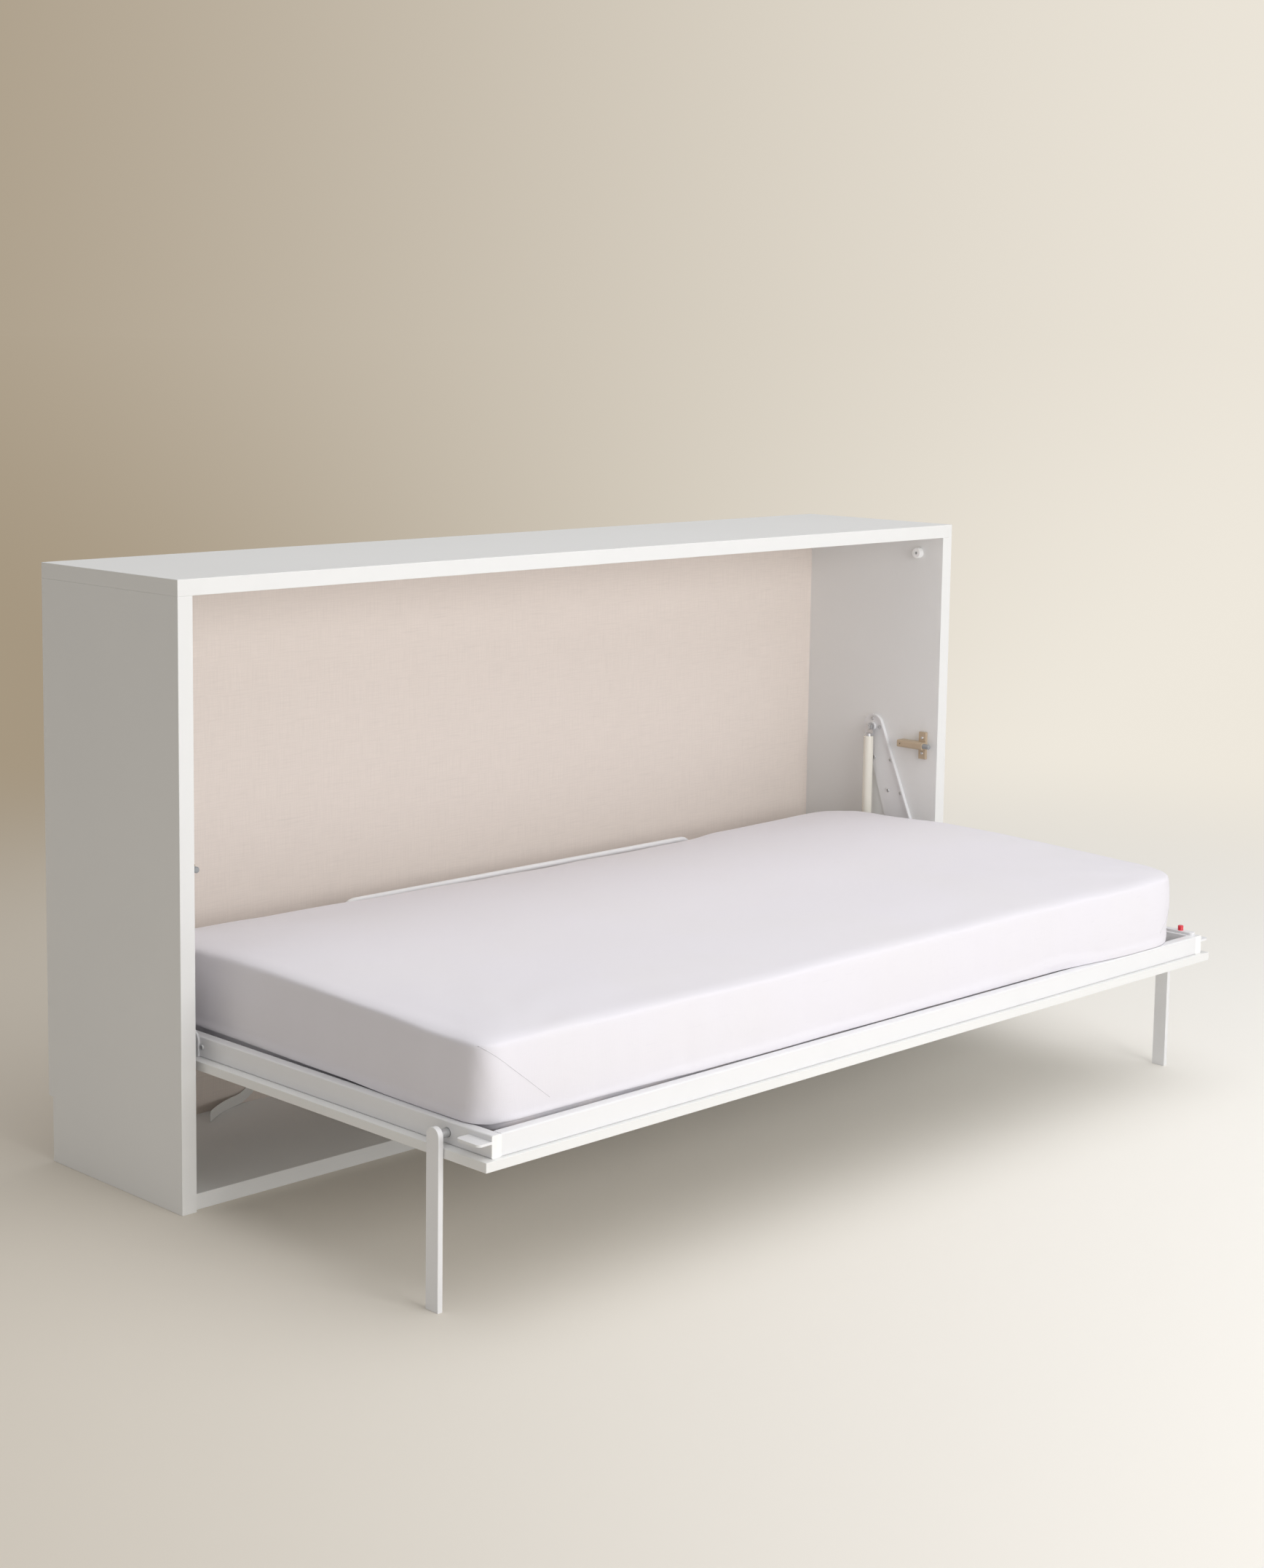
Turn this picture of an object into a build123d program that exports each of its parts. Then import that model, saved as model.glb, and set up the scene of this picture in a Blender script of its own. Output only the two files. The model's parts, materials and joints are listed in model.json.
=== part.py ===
from build123d import *
import math
import os

# Horizontal single wall bed, open. Millimetres, +Z up, floor at Z = 0, X = 0 in the middle.
# Inside this file Y = 0 is the cabinet's front plane and +Y runs to the wall;
# save() moves every piece so that the origin is the middle of the whole object.

# Cabinet boards
cabinet_width = 2060.0
cabinet_height = 1078.0
cabinet_depth = 405.0
side_board = 30.0
top_board = 28.0
bottom_board = 28.0
back_board = 10.0
back_recess = 21.0
bottom_setback = 10.0
skirting_height = 119.0
skirting_depth = 13.0
board_round = 0.8
dowel_radius = 4.0
dowel_length = 30.0
dowel_setback = 60.0
cut_overrun = 2.0

# Bed pivot, and how the front board meets the cabinet when the bed is closed
pivot_height = 284.5
pivot_setback = 52.5
closed_recess = 10.0
closed_top_gap = 3.0
sweep_clearance = 2.0
front_board = 16.0
front_board_side_gap = 13.5

# Steel bed frame on the front board
rail_height = 36.0
rail_width = 20.0
rail_wall = 1.5
rail_round = 2.5
frame_front_step = 8.0
frame_side_step = 18.5
frame_rear_step = 39.4
end_cap_plate = 2.0
end_cap_plug = 14.0
plug_clearance = 0.2

# Slats, their saddles and the two cross bars
slat_count = 13
slat_width = 60.0
slat_thickness = 8.0
slat_drop = 14.0
saddle_floor = 3.0
saddle_cheek = 3.0
saddle_depth = 26.0
saddle_end = 3.0
slat_side_play = 0.5
cross_bar_width = 25.0
cross_bar_height = 10.0
cross_bar_wall = 1.5
cross_bar_share = 0.34
cross_bar_screw_shares = (0.12, 0.38, 0.62, 0.88)

# Mattress in its fitted sheet
mattress_height = 145.0
mattress_side_gap = 4.0
mattress_front_gap = 5.0
mattress_rear_gap = 9.0
mattress_lift = 0.3
mattress_corner = 55.0
mattress_draw_in = 9.0
mattress_edge = 30.0
mattress_hem = 9.0
mattress_crown = 7.0
mattress_crown_inset = 150.0

# Mattress retainer at the rear, a bent round tube
hoop_half_length = 478.0
hoop_rise = 126.0
hoop_radius = 6.0
hoop_bend = 30.0

# Legs
leg_width = 28.5
leg_thickness = 10.0
leg_side_clearance = 2.0
leg_setback = 101.0
leg_round = 0.8
leg_shaft_radius = 7.3
leg_hole_margin = 0.9
leg_block_length = 40.0
running_clearance = 0.05
end_play = 0.5

# Stop tabs, stop pegs
tab_width = 27.0
tab_length = 52.0
tab_thickness = 4.0
tab_height = 23.0
tab_round = 8.0
peg_radius = 11.5
peg_length = 12.0
peg_gap = 0.4
peg_screw_radius = 2.5
peg_screw_head = 3.2
peg_screw_sink = 4.5
peg_screw_depth = 14.0

# Mechanism plates on the cabinet sides
plate_thickness = 3.0
plate_top_radius = 28.0
plate_pivot_radius = 40.0
flange_height = 8.0
flange_thickness = 3.0
housing_radius = 17.0
housing_length = 12.0
bush_radius = 12.0
bush_collar = 1.0
hinge_pin_radius = 8.0
plate_screw_radius = 2.5
plate_screw_head = 4.5
plate_screw_head_height = 2.5
plate_screw_depth = 18.0
plate_screw_shares = ((-0.05, 0.10), (0.02, 0.55), (0.19, -0.75), (0.24, 0.77), (0.42, -0.27), (0.46, 0.90))

# Hinge brackets on the bed frame
bracket_thickness = 4.0
bracket_radius = 20.0
bracket_tail = 60.0
bracket_bolt_radius = 3.0
bracket_bolt_head = 5.0
bracket_bolt_head_height = 3.0
bracket_bolt_near = 30.0
bracket_bolt_far = 48.0
bracket_rivet_lead = 27.0

# Gas springs
spring_setback = 125.5
spring_rise = 330.0
spring_side_distance = 20.0
spring_tube_radius = 11.0
spring_bore_radius = 9.5
spring_guide = 12.0
spring_tube_top_gap = 21.0
spring_tube_bottom_gap = 30.0
spring_cap = 6.0
rod_radius = 5.0
piston_height = 10.0
piston_margin = 8.0
rod_eye_radius = 9.0
rod_eye_thickness = 8.0
rod_pin_radius = 4.0
rod_pin_head = 7.0
rod_pin_head_height = 3.0
spring_boss_radius = 9.0
spring_boss_length = 8.0
stud_radius = 4.0
fork_blade = 4.0
fork_width = 16.0
fork_base = 6.0
fork_base_radius = 8.0
washer_radius = 8.0
washer_thickness = 1.5
nut_height = 6.5
nut_flats = 13.0
stud_end = 2.0
lug_radius = 13.0
lug_thickness = 3.0

# Closing dampers
damper_rise = 302.5
damper_setback = 28.0
damper_arm_length = 68.0
damper_arm_height = 16.0
damper_arm_depth = 21.5
damper_round = 4.0
damper_plate_width = 18.5
damper_plate_height = 60.0
damper_plate_thickness = 6.5
damper_axis_depth = 13.5
damper_screw_rise = 17.0
damper_screw_radius = 2.0
damper_screw_head = 3.2
damper_screw_head_height = 1.5
damper_screw_depth = 14.0
damper_eyelet_radius = 1.5
damper_eyelet_inset = 8.0
damper_eyelet_depth = 4.0
plunger_radius = 5.5
plunger_out = 17.0
plunger_in = 20.0
plunger_stop = 2.0

# Release button with its flat housing, on the right rail
latch_housing_width = 16.0
latch_housing_length = 70.0
latch_housing_height = 5.0
latch_setback = 12.0
button_setback = 42.0
button_radius = 5.5
button_height = 11.0
button_round = 1.5
button_travel = 4.0

# Wall brackets
wall_bracket_spread = 600.0
wall_bracket_width = 60.0
wall_bracket_height = 40.0
wall_bracket_steel = 3.0
wall_bracket_hole = 4.5
wall_screw_radius = 2.5
wall_screw_head = 4.5
wall_screw_head_height = 2.0
wall_screw_depth = 14.0
wall_screw_step = 18.0

# Webbing strap on the back board
strap_width = 20.0
strap_thickness = 1.6
strap_inset = 415.0
strap_anchor_height = 150.0
strap_run = 155.0
strap_forward = 57.0
strap_clearance = 0.3
strap_screw_radius = 2.5
strap_screw_head = 5.0
strap_screw_head_height = 2.0
strap_screw_depth = 8.0

# Levels and planes that follow from the sizes above
inner_face = cabinet_width / 2 - side_board
strap_anchor_x = strap_inset - inner_face
top_underside = cabinet_height - top_board
back_face = cabinet_depth - back_recess - back_board
board_bottom = pivot_height - pivot_setback + closed_recess
board_top = board_bottom + front_board
bed_reach = top_underside - closed_top_gap - pivot_height - pivot_setback
sweep_radius = pivot_height - bottom_board - sweep_clearance
board_rear = pivot_setback + math.sqrt(sweep_radius ** 2 - (pivot_height - board_bottom) ** 2)
board_half = inner_face - front_board_side_gap
rail_top = board_top + rail_height
rail_middle = board_top + rail_height / 2
rail_outer = board_half - frame_side_step
rail_inner = rail_outer - rail_width
frame_front = -bed_reach + frame_front_step
frame_rear = board_rear - frame_rear_step
frame_inner_front = frame_front + rail_width
frame_inner_rear = frame_rear - rail_width
slat_top = rail_top - slat_drop
slat_bottom = slat_top - slat_thickness
leg_outer = inner_face - leg_side_clearance
leg_inner = leg_outer - leg_thickness
leg_y = frame_front + leg_setback
tab_bottom = board_top + tab_height
tab_closed_face = pivot_setback + tab_bottom + tab_thickness - pivot_height
peg_y = tab_closed_face + peg_gap + peg_radius
peg_z = pivot_height + pivot_setback - frame_front - tab_length / 2
plate_face = inner_face - plate_thickness
spring_y = pivot_setback + spring_setback
spring_z = pivot_height + spring_rise
spring_x = inner_face - spring_side_distance
closed_board_face = closed_recess + front_board
damper_z = pivot_height + damper_rise
plunger_travel = closed_board_face + end_play - damper_setback + plunger_out
centre_shift = (bed_reach - cabinet_depth) / 2

# The gas spring's length when the bed is open and when it is closed
lower_drop = pivot_height - rail_middle
open_length = spring_rise + lower_drop
closed_length = math.hypot(spring_setback + lower_drop, spring_rise + spring_setback)
spring_stroke = closed_length - open_length


def block(x, y, z):
    """A box between two values on each axis."""
    size = Box(x[1] - x[0], y[1] - y[0], z[1] - z[0], align=(Align.MIN, Align.MIN, Align.MIN))
    return Pos(x[0], y[0], z[0]) * size


def round_x(radius, x, y, z):
    """A cylinder along X."""
    turned = Rot(0, 90, 0) * Cylinder(radius, x[1] - x[0], align=(Align.CENTER, Align.CENTER, Align.MIN))
    return Pos(x[0], y, z) * turned


def round_y(radius, x, y, z):
    """A cylinder along Y."""
    turned = Rot(-90, 0, 0) * Cylinder(radius, y[1] - y[0], align=(Align.CENTER, Align.CENTER, Align.MIN))
    return Pos(x, y[0], z) * turned


def round_z(radius, x, y, z):
    """A cylinder along Z."""
    upright = Cylinder(radius, z[1] - z[0], align=(Align.CENTER, Align.CENTER, Align.MIN))
    return Pos(x, y, z[0]) * upright


def soft_edges(solid, radius):
    """The same solid with every edge rounded."""
    return fillet(solid.edges(), radius)


def left_of(solid):
    """The mirror image, for the left side of the bed."""
    return mirror(solid, about=Plane.YZ)


def side_profile(points, x):
    """A solid from an outline in Y and Z, between two X values."""
    face = Plane.YZ * make_face(Polyline(*points, close=True))
    return Pos(x[0], 0, 0) * extrude(face, amount=x[1] - x[0], dir=(1, 0, 0))


def plate_screw_places():
    """Y and Z of each plate screw, set out along the line from the upper pin to the pivot."""
    run = math.hypot(spring_setback, spring_rise)
    down = (-spring_setback / run, -spring_rise / run)
    ahead = (down[1], -down[0])
    places = []
    for along, across in plate_screw_shares:
        y = spring_y + down[0] * along * run + ahead[0] * across * plate_top_radius
        z = spring_z + down[1] * along * run + ahead[1] * across * plate_top_radius
        places.append((y, z))
    return places


def top_dowels():
    """Upright dowels between the top and the right side."""
    x = inner_face + side_board / 2
    ends = (top_underside - dowel_length / 2, top_underside + dowel_length / 2)
    places = (dowel_setback, cabinet_depth - dowel_setback)
    return [round_z(dowel_radius, x, y, ends) for y in places]


def bottom_dowels():
    """Level dowels between the bottom and the right side."""
    ends = (inner_face - dowel_length / 2, inner_face + dowel_length / 2)
    places = (dowel_setback, cabinet_depth - dowel_setback)
    return [round_x(dowel_radius, ends, y, bottom_board / 2) for y in places]


def right_dowels():
    return top_dowels() + bottom_dowels()


def peg_screw():
    """The right stop peg's screw, its head sunk in the peg."""
    head_end = inner_face - peg_length + peg_screw_sink
    shank = round_x(peg_screw_radius, (head_end, inner_face + peg_screw_depth), peg_y, peg_z)
    head = round_x(peg_screw_head, (head_end, head_end + peg_screw_sink), peg_y, peg_z)
    return shank + head


def damper_screw_heights():
    return (damper_z - damper_screw_rise, damper_z + damper_screw_rise)


def damper_screws():
    """Two screws that hold the right damper."""
    y = damper_setback + damper_plate_width / 2
    face = inner_face - damper_plate_thickness
    screws = []
    for z in damper_screw_heights():
        head = round_x(damper_screw_head, (face - damper_screw_head_height, face), y, z)
        shank = round_x(damper_screw_radius, (face, inner_face + damper_screw_depth), y, z)
        screws.append(head + shank)
    return screws


def plate_screws():
    """The screws of the right mechanism plate."""
    screws = []
    for y, z in plate_screw_places():
        head = round_x(plate_screw_head, (plate_face - plate_screw_head_height, plate_face), y, z)
        shank = round_x(plate_screw_radius, (plate_face, plate_face + plate_screw_depth), y, z)
        screws.append(head + shank)
    return screws


def right_side_panel():
    """Side board, notched at the lower rear for a skirting board."""
    rear_low = cabinet_depth - skirting_depth
    outline = [
        (0, 0),
        (rear_low, 0),
        (rear_low, skirting_height),
        (cabinet_depth, skirting_height),
        (cabinet_depth, top_underside),
        (0, top_underside),
    ]
    panel = soft_edges(side_profile(outline, (inner_face, cabinet_width / 2)), board_round)
    for tool in right_dowels() + plate_screws() + damper_screws() + [peg_screw()]:
        panel -= tool
    return panel


def top_panel():
    across = (-cabinet_width / 2, cabinet_width / 2)
    panel = block(across, (0, cabinet_depth), (top_underside, cabinet_height))
    panel = soft_edges(panel, board_round)
    for tool in top_dowels():
        panel -= tool
        panel -= left_of(tool)
    for tool in wall_bracket_screws():
        panel -= tool
    return panel


def bottom_panel():
    rear = cabinet_depth - skirting_depth
    panel = block((-inner_face, inner_face), (bottom_setback, rear), (0, bottom_board))
    panel = soft_edges(panel, board_round)
    for tool in bottom_dowels():
        panel -= tool
        panel -= left_of(tool)
    return panel


def back_panel():
    """Thin laminated board between the sides, the top and the bottom."""
    across = (-inner_face, inner_face)
    panel = block(across, (back_face, back_face + back_board), (bottom_board, top_underside))
    return panel - strap_screw()


def strap_line():
    """The strap seen from above: along the back board, then forward over the bottom."""
    rear = back_face - strap_thickness / 2
    start = (strap_anchor_x + strap_width, rear)
    bend = (strap_anchor_x - strap_width / 2, rear)
    end = (strap_anchor_x - strap_run, rear - strap_forward)
    straight = Line(start, bend)
    return straight + TangentArc(bend, end, tangent=(-1, 0))


def strap():
    """Flat webbing that hangs from its screw and curls forward on its edge over the bottom board."""
    low = bottom_board + strap_clearance
    wall = extrude(trace(strap_line(), line_width=strap_thickness), amount=cabinet_height)
    right = strap_anchor_x + strap_width / 2
    left = strap_anchor_x - strap_width / 2
    bend = strap_anchor_height - low - strap_width
    tip = strap_anchor_x - strap_run - strap_width
    outer = bend / 2 + strap_width
    inner = bend / 2
    knee = low + outer
    high = low + strap_width
    edge = Polyline((left - inner, high), (tip, high), (tip, low), (left - inner, low))
    edge += CenterArc((left - inner, knee), outer, 270, 90)
    edge += Polyline((right, knee), (right, strap_anchor_height), (left, strap_anchor_height), (left, knee))
    edge += CenterArc((left - inner, knee), inner, 270, 90)
    side = extrude(Plane.XZ * make_face(edge), amount=cabinet_depth, both=True)
    return (wall & side) - strap_screw()


def strap_screw():
    """Pan-head screw that pins the strap to the back board."""
    z = strap_anchor_height - strap_width / 2
    face = back_face - strap_thickness
    head = round_y(strap_screw_head, strap_anchor_x, (face - strap_screw_head_height, face), z)
    shank = round_y(strap_screw_radius, strap_anchor_x, (face, back_face + strap_screw_depth), z)
    return head + shank


def wall_bracket(x):
    """Steel angle behind the back board, under the top, with a hole to the wall."""
    rear = cabinet_depth
    front = rear - back_recess + cut_overrun / 2
    wide = (x - wall_bracket_width / 2, x + wall_bracket_width / 2)
    leaf = block(wide, (front, rear), (top_underside - wall_bracket_steel, top_underside))
    foot = top_underside - wall_bracket_height
    wall_leaf = block(wide, (rear - wall_bracket_steel, rear), (foot, top_underside))
    hole = round_y(wall_bracket_hole, x, (rear - back_recess, rear + cut_overrun), wall_hole_height())
    angle = leaf + wall_leaf - hole
    for tool in wall_bracket_screws():
        angle -= tool
    return angle


def wall_hole_height():
    return top_underside - wall_bracket_height / 2 - wall_bracket_steel / 2


def wall_bracket_screws():
    """Two screws for each wall bracket, up into the top board."""
    y = cabinet_depth - back_recess / 2
    face = top_underside - wall_bracket_steel
    screws = []
    for middle in (-wall_bracket_spread, wall_bracket_spread):
        for x in (middle - wall_screw_step, middle + wall_screw_step):
            head = round_z(wall_screw_head, x, y, (face - wall_screw_head_height, face))
            shank = round_z(wall_screw_radius, x, y, (face, face + wall_screw_depth))
            screws.append(head + shank)
    return screws


def plate_outline(shrink):
    """The mechanism plate's outline: two round ends, the upper pin and the pivot, and their tangents."""
    top = Pos(spring_y, spring_z) * Circle(plate_top_radius - shrink)
    low = Pos(pivot_setback, pivot_height) * Circle(plate_pivot_radius - shrink)
    return Plane.YZ * make_hull([*top.edges(), *low.edges()])


def plate_front_region():
    """Everything ahead of the line through the upper pin and the pivot."""
    lift = plate_top_radius + cut_overrun
    far = pivot_setback - plate_pivot_radius - cut_overrun
    points = [
        (spring_y, spring_z + lift),
        (spring_y, spring_z),
        (pivot_setback, pivot_height),
        (far, pivot_height),
        (far, spring_z + lift),
    ]
    return side_profile(points, (inner_face - flange_height, inner_face))


def right_mechanism_plate():
    """Steel plate with a turned front flange, the pivot housing and the boss for the gas spring."""
    into = (-1, 0, 0)
    sheet = Pos(inner_face, 0, 0) * extrude(plate_outline(0), amount=plate_thickness, dir=into)
    rim = extrude(plate_outline(0), amount=flange_height, dir=into)
    rim -= extrude(plate_outline(flange_thickness), amount=flange_height, dir=into)
    flange = (Pos(inner_face, 0, 0) * rim) & plate_front_region()
    housing = round_x(housing_radius, (plate_face - housing_length, inner_face), pivot_setback, pivot_height)
    boss = round_x(spring_boss_radius, (plate_face - spring_boss_length, plate_face), spring_y, spring_z)
    plate = sheet + flange + housing + boss
    bore_start = plate_face - housing_length - cut_overrun
    plate -= round_x(bush_radius, (bore_start, inner_face + cut_overrun), pivot_setback, pivot_height)
    for tool in plate_screws():
        plate -= tool
    return plate


def right_hinge_bush():
    """Nylon bush with a collar, in the plate's housing."""
    housing_end = plate_face - housing_length
    sleeve = round_x(bush_radius, (housing_end - bush_collar, inner_face), pivot_setback, pivot_height)
    collar_radius = (bush_radius + housing_radius) / 2
    sleeve += round_x(collar_radius, (housing_end - bush_collar, housing_end), pivot_setback, pivot_height)
    bore = hinge_pin_radius + running_clearance
    ends = (housing_end - bush_collar - cut_overrun, inner_face + cut_overrun)
    return sleeve - round_x(bore, ends, pivot_setback, pivot_height)


def stud_layout():
    """X of each face along the upper stud, from the boss inwards."""
    boss_end = plate_face - spring_boss_length
    blade = (boss_end - end_play - fork_blade, boss_end - end_play)
    washer = (blade[0] - end_play - washer_thickness, blade[0] - end_play)
    nut = (washer[0] - nut_height, washer[0])
    return boss_end, blade, washer, nut


def right_spring_stud():
    boss_end, blade, washer, nut = stud_layout()
    return round_x(stud_radius, (nut[0] - stud_end, boss_end), spring_y, spring_z)


def right_spring_nut():
    """Hexagon nut and washer on the upper stud."""
    boss_end, blade, washer, nut = stud_layout()
    hexagon = RegularPolygon(radius=nut_flats / 2, side_count=6, major_radius=False)
    body = Pos(nut[0], spring_y, spring_z) * (Rot(0, 90, 0) * extrude(hexagon, amount=nut_height))
    body += round_x(washer_radius, washer, spring_y, spring_z)
    return body - right_spring_stud()


def right_stop_peg():
    """Round nylon buffer that the stop tab meets when the bed is closed."""
    peg = round_x(peg_radius, (inner_face - peg_length, inner_face), peg_y, peg_z)
    rim = peg.faces().sort_by(Axis.X)[0].edges()
    peg = fillet(rim, peg_screw_sink / 2)
    sink_start = inner_face - peg_length - cut_overrun
    sink_end = inner_face - peg_length + 2 * peg_screw_sink
    return peg - round_x(peg_screw_head, (sink_start, sink_end), peg_y, peg_z) - peg_screw()


def right_damper_housing():
    """Plastic adapter: a cross plate with two screws, and the arm that holds the damper."""
    front = damper_setback
    half = damper_arm_height / 2
    arm = block(
        (inner_face - damper_arm_depth, inner_face),
        (front, front + damper_arm_length),
        (damper_z - half, damper_z + half),
    )
    long_edges = arm.edges().filter_by(Axis.Y).sort_by(Axis.X)[0:2]
    arm = fillet(long_edges, damper_round)
    plate = block(
        (inner_face - damper_plate_thickness, inner_face),
        (front, front + damper_plate_width),
        (damper_z - damper_plate_height / 2, damper_z + damper_plate_height / 2),
    )
    axis_x = inner_face - damper_axis_depth
    bore_end = front + plunger_in + plunger_travel + plunger_stop
    bore = round_y(plunger_radius + running_clearance, axis_x, (front - cut_overrun, bore_end), damper_z)
    eyelet_y = front + damper_arm_length - damper_eyelet_inset
    eyelet_x = inner_face - damper_arm_depth
    eyelet_ends = (eyelet_x - cut_overrun, eyelet_x + damper_eyelet_depth)
    eyelet = round_x(damper_eyelet_radius, eyelet_ends, eyelet_y, damper_z)
    housing = arm + plate - bore - eyelet
    for tool in damper_screws():
        housing -= tool
    return housing


def right_damper_plunger():
    axis_x = inner_face - damper_axis_depth
    ends = (damper_setback - plunger_out, damper_setback + plunger_in)
    plunger = round_y(plunger_radius, axis_x, ends, damper_z)
    tip = plunger.faces().sort_by(Axis.Y)[0].edges()
    return fillet(tip, plunger_radius / 2)


def cross_bar_places():
    """X of the two cross bars."""
    return (-cross_bar_share * rail_inner, cross_bar_share * rail_inner)


def cross_bar_screws(x):
    """Screws through one cross bar into the front board."""
    screws = []
    top = board_top + cross_bar_height
    head_top = top + (slat_bottom - top) / 2
    into_board = board_top - front_board * 3 / 4
    for share in cross_bar_screw_shares:
        y = frame_inner_front + share * (frame_inner_rear - frame_inner_front)
        head = round_z(plate_screw_head, x, y, (top, head_top))
        shank = round_z(plate_screw_radius, x, y, (into_board, top))
        screws.append(head + shank)
    return screws


def front_board_panel():
    """The board that closes the cabinet; it carries the bed frame when the bed is open."""
    panel = block((-board_half, board_half), (-bed_reach, board_rear), (board_bottom, board_top))
    panel = soft_edges(panel, board_round)
    for x in cross_bar_places():
        for tool in cross_bar_screws(x):
            panel -= tool
    return panel


def tube_corner(shrink):
    """The corner radius of a tube's outline, drawn in from its outside."""
    return max(rail_round - shrink, rail_round / 4)


def bar_y(x, y, z, shrink):
    """A bar along Y with rounded corners, drawn in from a tube's outside."""
    wide = x[1] - x[0] - 2 * shrink
    high = z[1] - z[0] - 2 * shrink
    profile = Plane.XZ * RectangleRounded(wide, high, tube_corner(shrink))
    solid = extrude(profile, amount=y[1] - y[0], dir=(0, 1, 0))
    return Pos((x[0] + x[1]) / 2, y[0], (z[0] + z[1]) / 2) * solid


def bar_x(x, y, z, shrink):
    """A bar along X with rounded corners, drawn in from a tube's outside."""
    wide = y[1] - y[0] - 2 * shrink
    high = z[1] - z[0] - 2 * shrink
    profile = Plane.YZ * RectangleRounded(wide, high, tube_corner(shrink))
    solid = extrude(profile, amount=x[1] - x[0], dir=(1, 0, 0))
    return Pos(x[0], (y[0] + y[1]) / 2, (z[0] + z[1]) / 2) * solid


def tube_y(x, y, z):
    """A rectangular tube along Y with rounded corners."""
    return bar_y(x, y, z, 0) - bar_y(x, y, z, rail_wall)


def tube_x(x, y, z):
    """A rectangular tube along X with rounded corners."""
    return bar_x(x, y, z, 0) - bar_x(x, y, z, rail_wall)


def right_side_rail():
    """Side tube, drilled in its outer wall for the leg shaft and the bracket bolts."""
    ends = (frame_front + end_cap_plate, frame_rear - end_cap_plate)
    rail = tube_y((rail_inner, rail_outer), ends, (board_top, rail_top))
    hole = leg_shaft_radius + leg_hole_margin
    rail -= round_x(hole, (rail_outer - rail_width / 2, rail_outer + cut_overrun), leg_y, rail_middle)
    for tool in right_bracket_bolts():
        rail -= tool
    return rail


def right_end_caps():
    """Plugs in both ends of the side tube."""
    x = (rail_inner, rail_outer)
    z = (board_top, rail_top)
    gap = rail_wall + plug_clearance
    front = bar_y(x, (frame_front, frame_front + end_cap_plate), z, 0)
    front += bar_y(x, (frame_front + end_cap_plate, frame_front + end_cap_plug), z, gap)
    rear = bar_y(x, (frame_rear - end_cap_plate, frame_rear), z, 0)
    rear += bar_y(x, (frame_rear - end_cap_plug, frame_rear - end_cap_plate), z, gap)
    return [front, rear]


def front_rail():
    return tube_x((-rail_inner, rail_inner), (frame_front, frame_inner_front), (board_top, rail_top))


def rear_rail():
    rail = tube_x((-rail_inner, rail_inner), (frame_inner_rear, frame_rear), (board_top, rail_top))
    for x in (-hoop_half_length, hoop_half_length):
        rail -= round_z(hoop_radius, x, hoop_y(), (rail_middle, rail_top + cut_overrun))
    return rail


def cross_bar(x):
    """Flat tube under the slats, screwed to the front board."""
    half = cross_bar_width / 2
    ends = (frame_inner_front, frame_inner_rear)
    bar = block((x - half, x + half), ends, (board_top, board_top + cross_bar_height))
    wall = cross_bar_wall
    inside = (board_top + wall, board_top + cross_bar_height - wall)
    bar -= block((x - half + wall, x + half - wall), ends, inside)
    for tool in cross_bar_screws(x):
        bar -= tool
    return bar


def slat_places():
    """X of each slat's middle, evenly spread between the side tubes."""
    pitch = 2 * rail_inner / slat_count
    return [(number - (slat_count - 1) / 2) * pitch for number in range(slat_count)]


def slats():
    """Sprung beech slats, front to rear."""
    half = slat_width / 2
    ends = (frame_inner_front + saddle_end, frame_inner_rear - saddle_end)
    return [block((x - half, x + half), ends, (slat_bottom, slat_top)) for x in slat_places()]


def slat_saddle(x, y, end_wall):
    """A plastic saddle: floor, two cheeks and the wall against the tube."""
    half = slat_width / 2 + slat_side_play
    outer = half + saddle_cheek
    low = slat_bottom - saddle_floor
    body = block((x - outer, x + outer), y, (low, slat_top))
    body -= block((x - half, x + half), end_wall, (slat_bottom, slat_top + cut_overrun))
    return body


def slat_saddles():
    """A saddle at each end of every slat."""
    front = (frame_inner_front, frame_inner_front + saddle_depth)
    rear = (frame_inner_rear - saddle_depth, frame_inner_rear)
    saddles = []
    for x in slat_places():
        saddles.append(slat_saddle(x, front, (front[0] + saddle_end, front[1] + cut_overrun)))
        saddles.append(slat_saddle(x, rear, (rear[0] - cut_overrun, rear[1] - saddle_end)))
    return saddles


def mattress_section(z, inset):
    """The mattress seen from above at one height: a rectangle with round corners."""
    wide = 2 * (rail_inner - mattress_side_gap - inset)
    front = frame_inner_front + mattress_front_gap + inset
    rear = frame_inner_rear - mattress_rear_gap - inset
    return Pos(0, (front + rear) / 2, z) * RectangleRounded(wide, rear - front, mattress_corner)


def mattress():
    """Crowned, sheet-covered mattress: sides drawn in at the foot and the top, and a soft top edge."""
    low = slat_top + mattress_lift
    high = low + mattress_height
    sections = [(low, mattress_draw_in), ((low + high) / 2, 0), (high, mattress_draw_in)]
    body = loft([mattress_section(z, inset) for z, inset in sections])
    body = fillet(body.faces().sort_by(Axis.Z)[-1].edges(), mattress_edge)
    body = fillet(body.faces().sort_by(Axis.Z)[0].edges(), mattress_hem)
    crown_foot = mattress_draw_in + mattress_edge
    crown_low = mattress_section(high, crown_foot)
    crown_high = mattress_section(high + mattress_crown, crown_foot + mattress_crown_inset)
    return body + loft([crown_low, crown_high], ruled=True)


def hoop_y():
    return frame_rear - rail_width / 2


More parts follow.
